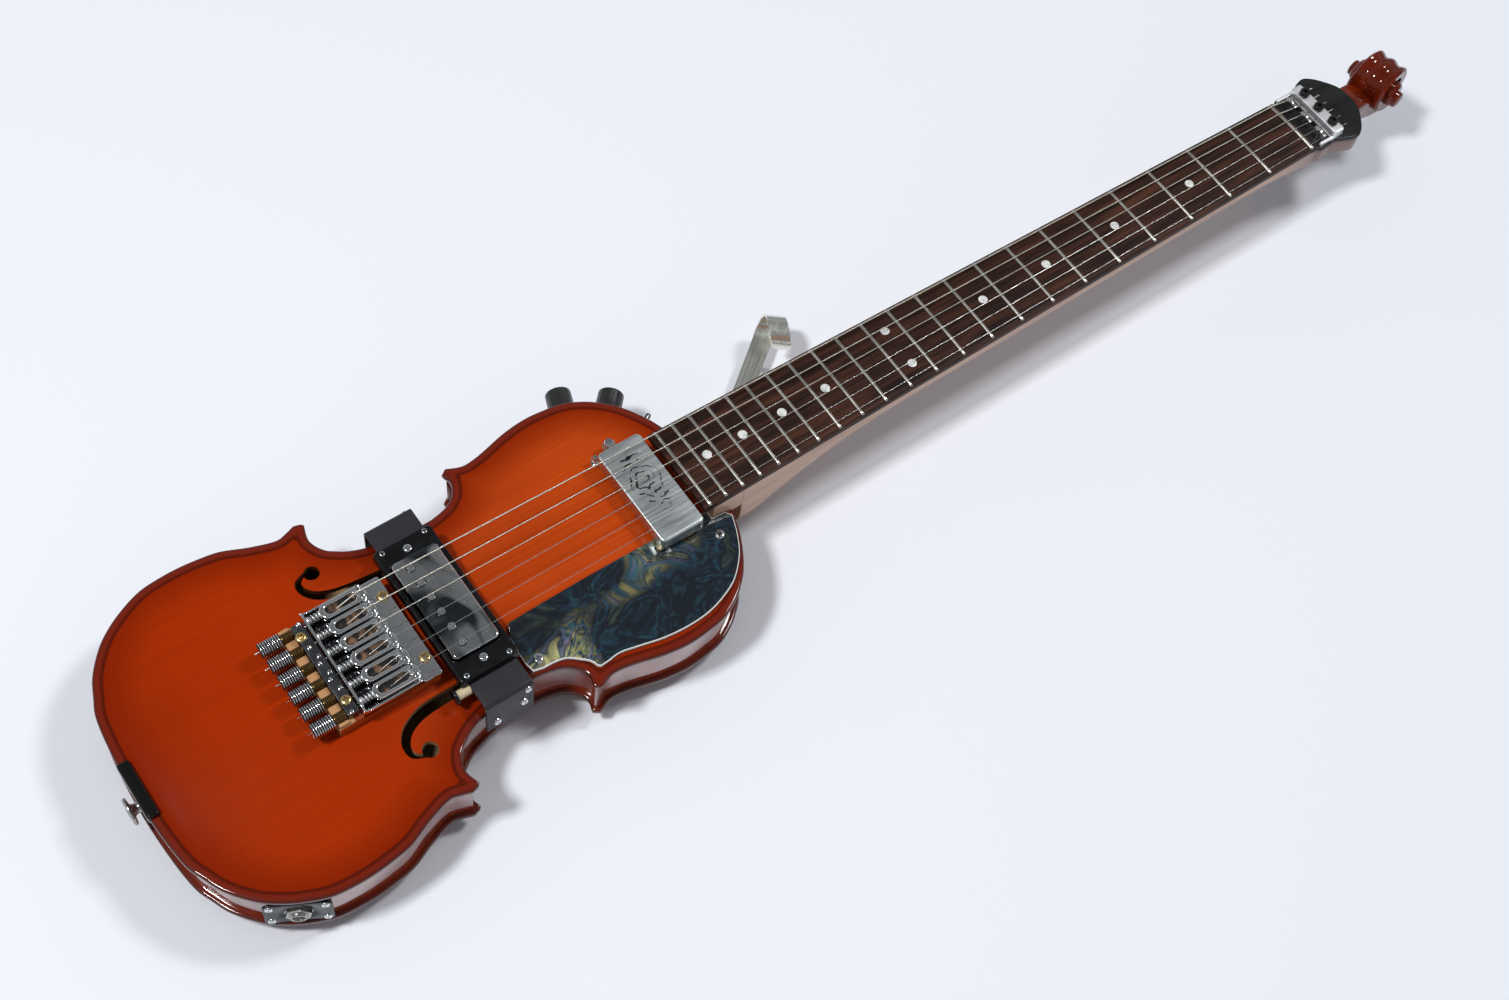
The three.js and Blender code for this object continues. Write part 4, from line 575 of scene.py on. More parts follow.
def level(loop, z):
    return np.column_stack([loop, np.full(len(loop), z)])


def cut_sheet(outline, z0, z1, bevel=0.0, holes=(), which=0, edge=None, grid=0.0):
    """A flat piece cut to an outline, with holes, rounded edges and, where it bends, a grid."""
    profile = [(0.0, z0), (0.0, z1)]
    if bevel:
        turns = [math.pi / 2 * i / 3 for i in range(4)]
        profile = [(bevel * (1 - math.sin(t)), z0 + bevel * (1 - math.cos(t))) for t in turns]
        profile += [(bevel * (1 - math.cos(t)), z1 - bevel * (1 - math.sin(t))) for t in turns]
    loops = [np.array(loop, float) for loop in (outline, *holes)]
    vertices, faces, low, high = [], [], [], []
    for number, loop in enumerate(loops):
        count, start = len(loop), len(vertices)
        for inward, z in profile:
            vertices += level(ring_offset(loop, inward if number else -inward), z).tolist()
        faces += bands(start, len(profile), count)
        low += list(range(start, start + count))
        high += list(range(len(vertices) - count, len(vertices)))
    slots = [which if edge is None else edge] * len(faces)
    inner = np.zeros((0, 2))
    if grid:
        xs, ys = [np.arange(loops[0][:, axis].min(), loops[0][:, axis].max(), grid) for axis in (0, 1)]
        inner = np.array([(x, y) for x in xs for y in ys])
        inner = inner[inside(inner, loops[0])]
        inner = inner[distance_to(inner, np.vstack(loops)) > bevel + grid * 0.4]
    for ids, z in ((low, z0), (high, z1)):
        flat = np.split(np.array(vertices)[ids][:, :2], np.cumsum([len(loop) for loop in loops])[:-1])
        ids = ids + list(range(len(vertices), len(vertices) + len(inner)))
        vertices += level(inner, z).tolist()
        cap = fill(flat, inner)
        faces += [tuple(ids[i] for i in face) for face in cap]
        slots += [which] * len(cap)
    return np.array(vertices), faces, slots


def build(name, shapes, finishes, stands_for=None, body="guitar", sharp=40):
    """One piece of the instrument from its shapes, riding on a body of the frame."""
    vertices, faces, slots = [], [], []
    for points, skins, which in shapes:
        faces += [tuple(len(vertices) + i for i in face) for face in skins]
        vertices += [tuple(place) for place in points]
        slots += list(which)
    return fasten(make_mesh(name, vertices, faces, finishes, slots, sharp), stands_for, body)


def rib(line):
    loop = np.vstack([inset(line, OVERHANG), inset(line, OVERHANG + RIB_THICKNESS)[::-1]])
    return cut_sheet(loop, RIB_LOW, RIB_HIGH)


def butted(line):
    """A waist line, cut where its rib meets the insides of the bout ribs."""
    middle = inset(line, OVERHANG + RIB_THICKNESS / 2)
    return line[distance_to(middle, np.vstack([lower_line, upper_line])) > OVERHANG + RIB_THICKNESS * 0.8]


rib_varnish = wood(
    "rib_varnish", (142, 52, 24), (98, 32, 15), (220, 60, 9), 0.35, 0.75, 0.16, coat=1.0, bump=0.02, Coat_IOR=1.8,
)
for rib_name, rib_line, node_name in (
    ("lower_rib", lower_line, "rib_lower"),
    ("bass_waist_rib", butted(bass_waist), "rib_waist_bass"),
    ("treble_waist_rib", butted(treble_waist), "rib_waist_treble"),
    ("bass_upper_rib", upper_line[upper_line[:, 1] > TENON_HALF], "rib_upper_bass"),
    ("treble_upper_rib", upper_line[upper_line[:, 1] < -TENON_HALF], "rib_upper_treble"),
):
    build(rib_name, [rib(rib_line)], [rib_varnish], node_name)

# Blocks inside the body
# Bare spruce blocks that hold the neck tenon and the strap pin. They are glued to the ribs and the
# plates and show only through the sound holes.
for node_name in ("neck_block", "end_block"):
    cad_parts[node_name].data.materials[0] = bare_spruce

# Neck
# One piece of pale satin maple. A deep straight-sided heel is let into the neck block, the shaft is
# half round, and under the nut it thickens to the block that carries the head.
FRET_SCALE = 648.0
FRET_COUNT = 22
BOARD_TOP = -1.0
BOARD_START = 2.6
NUT_HALF = 20.75
WIDENING = 7.5
HEAD_LOW = -17.7
HEAD_SEAT = -6.2
HEAD_START = 2.9
HEAD_LENGTH = 50.0
HEAD_HALF = 22.5
TONGUE = (-464, -443.6, -440)
TONGUE_LOW = -21
TONGUE_ROOT_HALF = 24
NECK_STATIONS = [
    (-443.4, 45.5, 17, 5, 0.72), (-434, 45.5, 17, 5, 0.72), (-427, 44, 16, 4.6, 0.74), (-420, 40, 15, 4.2, 0.78),
    (-411, 34, 14.5, 3.8, 0.82), (-402, 28.5, 14, 3.4, 0.88), (-393, 24, 13, 3.1, 0.93), (-384, 21, 11, 2.8, 0.97),
    (-373, 19.4, 9, 2.5, 1), (-360, 18.8, 6.5, 2.3, 1), (-340, 18.5, 4.6, 2.15, 1), (-250, 18.0, 4.2, 2.1, 1),
    (-160, 17.4, 4, 2.1, 1), (-80, 16.9, 4, 2.1, 1), (-50, 17.3, 4, 2.1, 1), (-34, 18.4, 4.2, 2.2, 1),
    (-20, 20.4, 4.6, 2.4, 1), (-8, 23.2, 5, 2.6, 1), (2, 25.6, 5.5, 2.9, 1), (12, 26.6, 6, 3.1, 0.97),
    (22, 26.4, 6, 3.1, 0.94), (26.5, 25.2, 6, 3, 0.9), (28, 23.4, 6, 2.8, 0.86),
]
HEAD_SHAPE = [
    (0.0, 0.92), (0.05, 0.925), (0.1, 1.0), (0.255, 1.0), (0.3, 0.93), (0.38, 0.99), (0.48, 1.08), (0.58, 1.17),
    (0.67, 1.19), (0.75, 1.09), (0.82, 0.94), (0.88, 0.77), (0.94, 0.58), (0.98, 0.4), (1.0, 0.18),
]


def fret_x(number):
    return -FRET_SCALE * (1 - 2 ** (-number / 12))


def board_half(x):
    return NUT_HALF + WIDENING * x / fret_x(FRET_COUNT)


def skin(rings, which=0, closed=False):
    """Rings of equal length joined into one skin, with flat ends unless it is closed."""
    count, total = len(rings[0]), len(rings)
    faces = bands(0, total, count, closed)
    if not closed:
        faces += [tuple(range(count)), tuple(range((total - 1) * count, total * count))]
    return np.vstack(rings), faces, [which] * len(faces)


def neck_ring(x, depth, side, power, narrow):
    """Half a flattened circle below the board: its depth, straight sides and fullness at one place."""
    half = board_half(x)
    turns = np.linspace(0, np.pi, 25)
    cosine, sine = np.cos(turns), np.abs(np.sin(turns))
    y = half * np.sign(cosine) * np.abs(cosine) ** (2 / power) * (1 - (1 - narrow) * sine ** 2)
    top = HEAD_SEAT - 0.1 if x > BOARD_START else BOARD_LOW
    z = np.minimum(BOARD_LOW - side - (depth - side) * sine ** (2 / power), top)
    return np.vstack([(x, half, top), np.column_stack([np.full(25, x), y, z]), (x, -half, top)])


def mirrored(half):
    """A closed outline from its bass side."""
    return np.vstack([half, np.array(half)[::-1] * (1, -1)])


def head_outline():
    half = [(HEAD_START + along * HEAD_LENGTH, out * HEAD_HALF) for along, out in HEAD_SHAPE]
    return mirrored(half[:4] + smooth_line(half[4:], 26).tolist())[::-1]


maple = wood("maple", (196, 158, 132), (168, 126, 98), (10, 220, 130), 0.45, 0.8, 0.42, coat=0.15, bump=0.06)
# Toward the head the maple is painted a darker pinkish grey: painted shade with a painted floor reflection on the
# head's sides.
tone_over(maple, (138, 110, 104), span(maple, 0, -30, 8))
tongue = [(TONGUE[0], board_half(TONGUE[0])), (TONGUE[1], board_half(TONGUE[1])), (TONGUE[2], TONGUE_ROOT_HALF)]
neck_parts = [
    skin([neck_ring(*station) for station in smooth_line(NECK_STATIONS, 150)]),
    cut_sheet(mirrored(tongue), TONGUE_LOW, BOARD_LOW, bevel=0.4),
    cut_sheet(ring_offset(head_outline(), -0.3), HEAD_LOW, HEAD_SEAT, bevel=1.0),
]
build("neck", neck_parts, [maple], "neck")

# Fingerboard and frets
# A dark rosewood board glued on the neck, tapering to the nut and lightly crowned. Nickel silver
# frets are pressed into it, and round pearl dots are let in between them.
CROWN = 0.7
BOARD_END = fret_x(FRET_COUNT) - 4
BOARD_ROUND = 0.35
FRET_WIDTH = 2.3
FRET_HEIGHT = 1.0
FRET_SINK = 0.15
DOT_RADIUS = 2.75
DOT_SPREAD = 13.0
DOTS = [(3, 0), (5, 0), (7, 0), (9, 0), (12, -1), (12, 1), (15, 0), (17, 0), (19, 0), (21, 0)]


def crown_at(y, half):
    return CROWN * (1 - (y / half) ** 2)


def board_ring(x):
    half = board_half(x)
    top = np.linspace(half - BOARD_ROUND, BOARD_ROUND - half, 15)
    ring = [(x, half, BOARD_LOW), (x, half, BOARD_TOP - 0.3)]
    ring += [(x, y, BOARD_TOP + crown_at(y, half)) for y in top]
    return np.array(ring + [(x, -half, BOARD_TOP - 0.3), (x, -half, BOARD_LOW)])


rosewood = finish("rosewood", (60, 35, 28), 0.5, Specular_IOR_Level=0.12)
streaks = noise(rosewood, object_place(rosewood, (26, 560, 200)), 1.0, 6.0, Roughness=0.65)
broad = noise(rosewood, object_place(rosewood, (16, 170, 60)), 1.0, 2.0)
board_tone = blend_in(rosewood, (34, 19, 14), (74, 43, 30), share_of(rosewood, broad, 0.36, 0.7))
board_tone = blend_in(rosewood, board_tone, (22, 12, 10), share_of(rosewood, streaks, 0.47, 0.64))
dress(rosewood, Base_Color=board_tone, Normal=relief(rosewood, streaks, 0.25))
board_rings = [board_ring(x) for x in np.linspace(BOARD_START, BOARD_END, 30)]
build("fingerboard", [skin(board_rings)], [rosewood], "fingerboard")


def roughen(material, scale, low, high, bump=0.0):
    """Uneven gloss, with a slight relief of the same pattern."""
    spots = noise(material, object_place(material), scale, 4.0)
    if bump:
        dress(material, Normal=relief(material, spots, bump, 0.0002))
    return dress(material, Roughness=share_of(material, spots, 0.3, 0.7, low, high))


def metal(name, color, low, high, scale=60.0, metallic=1.0):
    return roughen(finish(name, color, low, metallic), scale, low, high, bump=0.02)


def copy_tree():
    """A node tree that sets copies of one piece on points, each with its turn, size and chance spin."""
    tree = bpy.data.node_groups.new("copies", "GeometryNodeTree")
    kinds = {"Places": "Geometry", "Piece": "Object", "Finish": "Material", "Seed": "Int", "Wobble": "Float"}
    keys = {}
    for label, kind in kinds.items():
        keys[label] = tree.interface.new_socket(label, in_out="INPUT", socket_type="NodeSocket" + kind).identifier
    tree.interface.new_socket("Pieces", in_out="OUTPUT", socket_type="NodeSocketGeometry")

    def make(kind, data_type=None, **inputs):
        node = tree.nodes.new(kind)
        if data_type:
            node.data_type = data_type
        return plug(tree, node, inputs)

    given = make("NodeGroupInput").outputs
    turn, size = [
        make("GeometryNodeInputNamedAttribute", "FLOAT_VECTOR", Name=label).outputs[0] for label in ("turn", "size")
    ]
    chance = make("FunctionNodeRandomValue", "FLOAT", Seed=given["Seed"], n3=given["Wobble"]).outputs[1]
    source = make("GeometryNodeObjectInfo", Object=given["Piece"]).outputs["Geometry"]
    copies = make(
        "GeometryNodeInstanceOnPoints", Points=given["Places"], Instance=source, Rotation=turn, Scale=size,
    ).outputs["Instances"]
    spin = make("ShaderNodeCombineXYZ", Z=chance).outputs["Vector"]
    spun = make("GeometryNodeRotateInstances", Instances=copies, Rotation=spin).outputs["Instances"]
    solid = make("GeometryNodeRealizeInstances", Geometry=spun).outputs["Geometry"]
    dressed = make("GeometryNodeSetMaterial", Geometry=solid, Material=given["Finish"]).outputs["Geometry"]
    make("NodeGroupOutput", Pieces=dressed)
    return tree, keys


copies_tree, copies_keys = copy_tree()
COPY_SEED = 7


def repeat(name, shape, material, places, wobble=math.pi):
    """Copies of one shape set by the node tree: each place is a point and may have a turn and a size."""
    places = [(*place, *((0, 0, 0), (1, 1, 1))[len(place) - 1:]) for place in places]
    cloud = bpy.data.meshes.new(name + "_places")
    cloud.from_pydata([at(*place[0]) for place in places], [], [])
    for number, label in ((1, "turn"), (2, "size")):
        attribute = cloud.attributes.new(label, "FLOAT_VECTOR", "POINT")
        attribute.data.foreach_set("vector", np.array([tuple(place[number]) for place in places], float).ravel())
    carrier = bpy.data.objects.new(name + "_places", cloud)
    bpy.context.scene.collection.objects.link(carrier)
    one = make_mesh(name + "_one", shape[0], shape[1], [material], shape[2], origin=(0, 0, 0))
    modifier = carrier.modifiers.new(name, "NODES")
    modifier.node_group = copies_tree
    for label, value in (("Piece", one), ("Finish", material), ("Seed", COPY_SEED), ("Wobble", wobble)):
        modifier[copies_keys[label]] = value
    bpy.context.view_layer.update()
    baked = bpy.data.meshes.new_from_object(carrier.evaluated_get(bpy.context.evaluated_depsgraph_get()))
    baked.name = name
    for thing in (carrier, one):
        bpy.data.objects.remove(thing)
    piece = bpy.data.objects.new(name, baked)
    bpy.context.scene.collection.objects.link(piece)
    return fasten(piece)


def fret_shape():
    """A fret of half length 1 mm, stretched to its place: a low round bead with bevelled ends."""
    ends = [(-1, 0.15), (-0.985, 0.75), (-0.96, 1)]
    line = ends + [(y, 1) for y in np.linspace(-0.9, 0.9, 13)] + [(-y, share) for y, share in ends[::-1]]
    rings = []
    for y, share in line:
        foot = crown_at(y, NUT_HALF / (NUT_HALF - 1)) - FRET_SINK
        bead = [(math.cos(t), math.sin(t)) for t in np.linspace(0, np.pi, 9)]
        rings.append(np.array([(FRET_WIDTH / 2 * c, y, foot + (FRET_HEIGHT + FRET_SINK) * share * s) for c, s in bead]))
    return skin(rings)


fret_metal = metal("fret_metal", (206, 202, 192), 0.16, 0.3)
fret_places = []
for number in range(1, FRET_COUNT + 1):
    x = fret_x(number)
    fret_places.append(((x, 0, BOARD_TOP), (0, 0, 0), (1, board_half(x) - 0.6, 1)))
repeat("frets", fret_shape(), fret_metal, fret_places, wobble=0.0)
bead, bead_faces, bead_slots = fret_shape()
bead = bead * (1.15, NUT_HALF - 0.4, 1.05) + (0, 0, BOARD_TOP)
build("zero_fret", [(bead, bead_faces, bead_slots)], [fret_metal], "nut_bar")


def lathe(profile, sides=32, which=0, closed=False):
    """A turned piece round the z axis, from pairs of radius and height."""
    vertices, faces, rows = [], [], []
    for radius, height in profile:
        ring = [(0, 0)] if radius < 1e-6 else circle(radius, sides)
        rows.append([len(vertices) + i for i in range(len(ring))])
        vertices += [(x, y, height) for x, y in ring]
    for low, high in list(zip(rows, rows[1:])) + ([(rows[-1], rows[0])] if closed else []):
        for i in range(sides if len(low) + len(high) > 2 else 0):
            j = (i + 1) % sides
            face = [low[i % len(low)], low[j % len(low)], high[j % len(high)], high[i % len(high)]]
            faces.append(tuple(dict.fromkeys(face)))
    return np.array(vertices), faces, [which] * len(faces)


def mottle(material, first, second, place, scale, detail, low, high, **inputs):
    """Two tones of a finish, mixed by noise."""
    amount = share_of(material, noise(material, place, scale, detail, **inputs), low, high)
    return dress(material, Base_Color=blend_in(material, first, second, amount))


pearl_dot = finish("pearl_dot", (214, 214, 208), 0.25, coat=0.5)
mottle(pearl_dot, (222, 222, 218), (176, 182, 180), object_place(pearl_dot), 420.0, 2.0, 0.4, 0.7)
dot = lathe([(0, -0.6), (DOT_RADIUS, -0.6), (DOT_RADIUS, 0.02), (DOT_RADIUS - 0.15, 0.07), (0, 0.12)], 28)
dot_places = []
for number, side in DOTS:
    x, y = (fret_x(number) + fret_x(number - 1)) / 2, side * DOT_SPREAD
    dot_places.append([(x, y, BOARD_TOP + crown_at(y, board_half(x)))])
repeat("dots", dot, pearl_dot, dot_places, wobble=0.0)

# Head and scroll
# A glossy black veneer caps the maple head, and a carved violin scroll under dark red varnish is set
# into its end on a short stem, turned a little to the bass side.
HEAD_TOP = -3.2
SCROLL_CENTRE = np.array((86.5, 4.5, -16.0))
SCROLL_SIZE = 0.95
SCROLL_YAW = math.radians(9)
SCROLL_DEPTH = 7.0
SCROLL_TURNS = [
    (-150, 20.0, 9.0), (-120, 20.6, 9.2), (-90, 21.0, 9.6), (-60, 21.2, 10.0), (-30, 21.2, 10.3), (0, 21.0, 10.6),
    (30, 20.6, 10.9), (60, 20.0, 11.2), (90, 19.2, 11.6), (120, 18.2, 12.0), (150, 17.0, 12.4), (180, 15.8, 12.8),
    (210, 14.8, 13.2), (240, 14.0, 13.6), (270, 13.2, 14.0), (300, 12.5, 14.3), (330, 11.8, 14.6), (360, 11.2, 14.9),
    (390, 10.6, 15.2), (420, 10.0, 15.5), (450, 9.4, 15.8), (480, 8.8, 16.1), (510, 8.2, 16.4), (540, 7.7, 16.7),
    (570, 7.2, 17.0), (600, 6.8, 17.3), (630, 6.4, 17.6), (660, 6.0, 17.9), (690, 5.6, 18.2), (720, 5.2, 18.5),
]
EYE_PLACE = 17.6
EYE_PROFILE = [(0, -6), (5.4, -6), (5.4, 0.6), (4.9, 1.4), (3.6, 1.9), (0, 2.1)]
STEM_HALF = 10.0
STEM_STATIONS = [
    (40, -18.6, -6.6, 0), (52, -20.5, -6.6, 0.5), (58, -23.5, -7.0, 1), (64, -27.0, -8.5, 1.8),
    (70, -30.5, -12.0, 2.6), (78, -34.0, -18.0, 3.4), (88, -35.6, -25.0, 4.2),
]
head_veneer = wood(
    "head_veneer", (32, 34, 33), (19, 20, 20), (14, 160, 60), 0.35, 0.7, 0.25, coat=0.12, bump=0.05,
    Specular_IOR_Level=0.15,
)
veneer = cut_sheet(head_outline(), HEAD_SEAT, HEAD_TOP, bevel=0.7)
build("head_plate", [veneer], [head_veneer], "headstock_plate")
scroll_varnish = wood(
    "scroll_varnish", (106, 29, 5), (58, 14, 3), (30, 160, 40), 0.35, 0.75, 0.2, coat=1.0, bump=0.02,
    Specular_IOR_Level=0.0, Coat_IOR=1.4,
)


def scroll_place(along, side, lift):
    x = along * math.cos(SCROLL_YAW) - side * math.sin(SCROLL_YAW)
    y = along * math.sin(SCROLL_YAW) + side * math.cos(SCROLL_YAW)
    return SCROLL_CENTRE + (x, y, lift)


def scroll_ring(degrees):
    """A section of the winding: its back carries two flutes and a middle ridge, its edges are chamfered."""
    radius, half = [np.interp(degrees, *np.array(SCROLL_TURNS).T[[0, n]]) for n in (1, 2)]
    radius *= SCROLL_SIZE
    deep = max(radius - SCROLL_DEPTH, 0.6)
    flute = 1.7 * min(1, max((380 - degrees) / 240, 0))
    chamfer = [(half, deep), (half, radius - 1.6), (half - 1.3, radius - 0.2)]
    section = [(-side, r) for side, r in chamfer]
    for share in np.linspace(-0.86, 0.86, 13):
        section.append((share * (half - 1.3), radius - flute * math.sin(math.pi * (1 - abs(share))) ** 2))
    turn = math.radians(degrees)
    return np.array([scroll_place(r * math.cos(turn), side, r * math.sin(turn)) for side, r in section + chamfer[::-1]])


def scroll_eye(side):
    vertices, faces, slots = lathe(EYE_PROFILE)
    return np.array([scroll_place(x, side * (EYE_PLACE + z), y) for x, y, z in vertices]), faces, slots


def stem_ring(x, low, high, shift):
    cosine, sine = circle(1, 28).T
    y = STEM_HALF * np.sign(cosine) * np.abs(cosine) ** 0.3 + shift
    z = (low + high) / 2 + (high - low) / 2 * np.sign(sine) * np.abs(sine) ** 0.3
    return np.column_stack([np.full(28, x), y, z])


scroll_parts = [
    skin([scroll_ring(degrees) for degrees in np.linspace(SCROLL_TURNS[0][0], SCROLL_TURNS[-1][0], 170)]),
    scroll_eye(1), scroll_eye(-1), skin([stem_ring(*station) for station in STEM_STATIONS]),
]
build("scroll", scroll_parts, [scroll_varnish], "scroll", sharp=35)

# Strings
# Three plain and three wound steel strings. Each runs from the clamp over the zero fret and its
# saddle, and down through the tuner bar to its tuner.
STRING_COUNT = 6
SPACING_NUT = 7.2
SPACING_BRIDGE = 10.8
SPACING_CLAMP = 6.6
THIN_STRING = 0.28
THICK_STRING = 0.62
THICKNESS_SHARES = [0, 0.1, 0.22, 0.45, 0.72, 1]
BREAK_X = -655.5
BREAK_Z = 5.2
ANCHOR_Z = -1.55
DIVE_RUN = 15.5
STRING_END = -716.1
CLAMP_START = 7.0
CLAMP_END = 26.0
CLAMP_STRING_Z = -1.2
SEAT_GAP = 0.3


def string_place(i):
    return i - (STRING_COUNT - 1) / 2


def string_radius(i):
    return THIN_STRING / 2 + (THICK_STRING - THIN_STRING) * THICKNESS_SHARES[i]


def tube(path, radius, sides):
    """A wire along a line, with flat ends."""
    path = np.array(path, float)
    ahead = np.gradient(path, axis=0)
    ahead = ahead / np.linalg.norm(ahead, axis=1, keepdims=True)
    up = np.array((0, 0, 1.0) if abs(ahead[0][2]) < 0.9 else (1.0, 0, 0))
    rings = []
    for place, along in zip(path, ahead):
        up = up - along * up.dot(along)
        up = up / np.linalg.norm(up)
        rings.append(place + circle(radius, sides) @ (up, np.cross(along, up)))
    return skin(rings)


def spaced(points, step, least):
    """A chain of straight lines, each with at least so many points and none farther apart than a step."""
    path = np.array(points, float)
    fine = []
    for a, b in zip(path[:-1], path[1:]):
        count = max(int(np.linalg.norm(b - a) / step), least)
        fine += [a + (b - a) * k / count for k in range(count)]
    return np.vstack(fine + [path[-1]])


plain_string = metal("plain_string", (206, 206, 202), 0.2, 0.32, 300.0)
wound_string = finish("wound_string", (208, 204, 190), 0.3, metallic=1.0)
winding = add(wound_string, "TexWave", {"bands_direction": "X"}, Vector=object_place(wound_string), Scale=300.0)
winding = winding.outputs["Fac"]
dull = share_of(wound_string, winding, 0, 1, 0.42, 0.24)
dress(wound_string, Normal=relief(wound_string, winding, 0.5, 0.0002), Roughness=dull)
for i in range(STRING_COUNT):
    nut_y, clamp_y, bridge_y = [string_place(i) * width for width in (SPACING_NUT, SPACING_CLAMP, SPACING_BRIDGE)]
    path = spaced([
        (CLAMP_END + 8, clamp_y, CLAMP_STRING_Z), (CLAMP_END - 7.5, clamp_y, CLAMP_STRING_Z),
        (0, nut_y, crown_at(nut_y, NUT_HALF) + string_radius(i) + SEAT_GAP), (BREAK_X, bridge_y, BREAK_Z),
        (BREAK_X - DIVE_RUN, bridge_y, ANCHOR_Z), (STRING_END, bridge_y, ANCHOR_Z),
    ], 2.0, 2)
    metal_wire, slot = (wound_string, "wound_string") if i >= STRING_COUNT / 2 else (plain_string, "plain_string")
    build(f"string_{i + 1}_wire", [tube(path, string_radius(i), 12)], [metal_wire], f"string_{i + 1}")

# String clamp and string trees
# A satin nickel steel bridge over the strings with three black socket screws that press them down, and
# three small T-shaped bars that hold the strings low between the zero fret and the clamp.
CLAMP_HALF = 21.0
CLAMP_BAR = 7.5
CLAMP_SIDE = 1.8
CLAMP_PITCH = 13.2
CLAMP_BAR_REAR = CLAMP_END - CLAMP_BAR - 0.5
CLAMP_BAR_LOW = CLAMP_STRING_Z + THICK_STRING + 2 * SEAT_GAP
CLAMP_BAR_TOP = CLAMP_BAR_LOW + 3.4
TREE_X = 12.3
TREE_HALF = 4.75
TREE_POST = [(0.9, 1.4), (1.35, 1.5), (1.2, 2.1), (0.5, 2.3), (0, 2.3)]


def rounded(x0, x1, y0, y1, radius, steps=6):
    """The outline of a rectangle with rounded corners, counterclockwise."""
    radius = min(radius, abs(x1 - x0) / 2 - 0.001, abs(y1 - y0) / 2 - 0.001)
    x0, x1, y0, y1 = x0 + radius, x1 - radius, y0 + radius, y1 - radius
    loop = []
    for quarter, (x, y) in enumerate(((x1, y1), (x0, y1), (x0, y0), (x1, y0))):
        for k in range(steps + 1):
            t = math.pi / 2 * (quarter + k / steps)
            loop.append((x + radius * math.cos(t), y + radius * math.sin(t)))
    return np.array(loop)


def upright(shape, *axes):
    """A shape with its axes changed: the numbers are those of its old axes."""
    return shape[0][:, axes], shape[1], shape[2]


def moved(shape, *way):
    return shape[0] + way, shape[1], shape[2]


def brick(x0, x1, y0, y1, z0, z1, corner=0.8, bevel=0.35, which=0):
    return cut_sheet(rounded(x0, x1, y0, y1, corner), z0, z1, bevel, which=which)


def slotted(rings, cut, narrowed, deep):
    """A turned head with a slot sunk into its flat top, narrowing to its floor."""
    vertices, faces = skin(rings)[:2]
    faces.pop()
    sides, number, start = len(rings[0]), len(cut), len(vertices)
    top, height = rings[-1][:, :2], rings[-1][0][2]
    vertices = np.vstack([vertices, level(cut, height), level(cut * narrowed, height - deep)])
    faces += [tuple(start - sides + k if k < sides else start + k - sides for k in face) for face in fill([top, cut])]
    faces += bands(start, 2, number)
    faces += [tuple(start + number + k for k in face) for face in fill([cut * narrowed])]
    return vertices, faces, [0] * len(faces)


def socket_screw(radius, height, shank, length, across, deep):
    """A cap screw with a hexagonal socket, its knurled head standing on z = 0, and its shank."""
    knurl = (1 - 0.03 * (np.arange(48) % 2))[:, None]
    rings = [level(circle(radius * 0.94, 48), 0)]
    for share, rise in ((knurl, 0.08), (knurl, 0.84), (0.97, 0.93), (0.9, 1.0)):
        rings.append(level(circle(radius, 48) * share, rise * height))
    head = slotted(rings, circle(across / math.sqrt(3), 6), 1, deep)
    return [head, lathe([(0, -length), (shank, -length), (shank, 0.01), (0, 0.01)], 20)]


chrome = metal("chrome", (236, 237, 237), 0.05, 0.14, 90.0)
black_screw = metal("black_screw", (34, 34, 36), 0.22, 0.4, 200.0, metallic=0.6)
satin_nickel = metal("satin_nickel", (222, 222, 224), 0.28, 0.4, 120.0, metallic=0.7)
clamp_parts = [
    brick(CLAMP_BAR_REAR, CLAMP_END, -CLAMP_HALF, CLAMP_HALF, HEAD_TOP, HEAD_TOP + 1, 1.4, 0.2),
    brick(CLAMP_BAR_REAR, CLAMP_END, -CLAMP_HALF, CLAMP_HALF, CLAMP_BAR_LOW, CLAMP_BAR_TOP, 1.6, 0.6),
]
for y in (-CLAMP_HALF, CLAMP_HALF - CLAMP_SIDE):
    arm = rounded(CLAMP_START, CLAMP_END, HEAD_TOP, CLAMP_BAR_LOW, 1.2)
    post = rounded(CLAMP_BAR_REAR + 0.4, CLAMP_END - 0.4, HEAD_TOP + 0.2, CLAMP_BAR_TOP - 0.5, 1.2)
    clamp_parts.append(upright(cut_sheet(arm, y, y + CLAMP_SIDE, 0.3), 0, 2, 1))
    clamp_parts.append(upright(cut_sheet(post, y + 0.1, y + CLAMP_SIDE - 0.1, 0.3), 0, 2, 1))
build("string_clamp", clamp_parts, [satin_nickel], "string_clamp_base")
for n in (1, 2, 3):
    foot = ((CLAMP_BAR_REAR + CLAMP_END) / 2, (2 - n) * CLAMP_PITCH, CLAMP_BAR_TOP + SEAT_GAP)
    parts = [moved(part, *foot) for part in socket_screw(3.3, 2.9, 1.5, 4.6, 2.9, 1.6)]
    build(f"clamp_socket_screw_{n}", parts, [black_screw], f"clamp_screw_{n}", f"clamp_bolt_{n}")
tree_share = TREE_X / (CLAMP_END - CLAMP_BAR)
tree_spacing = SPACING_NUT + (SPACING_CLAMP - SPACING_NUT) * tree_share
tree_low = (1 - tree_share) * (CROWN + THICK_STRING / 2 + SEAT_GAP) + tree_share * CLAMP_STRING_Z
tree_low += THICK_STRING / 2 + SEAT_GAP
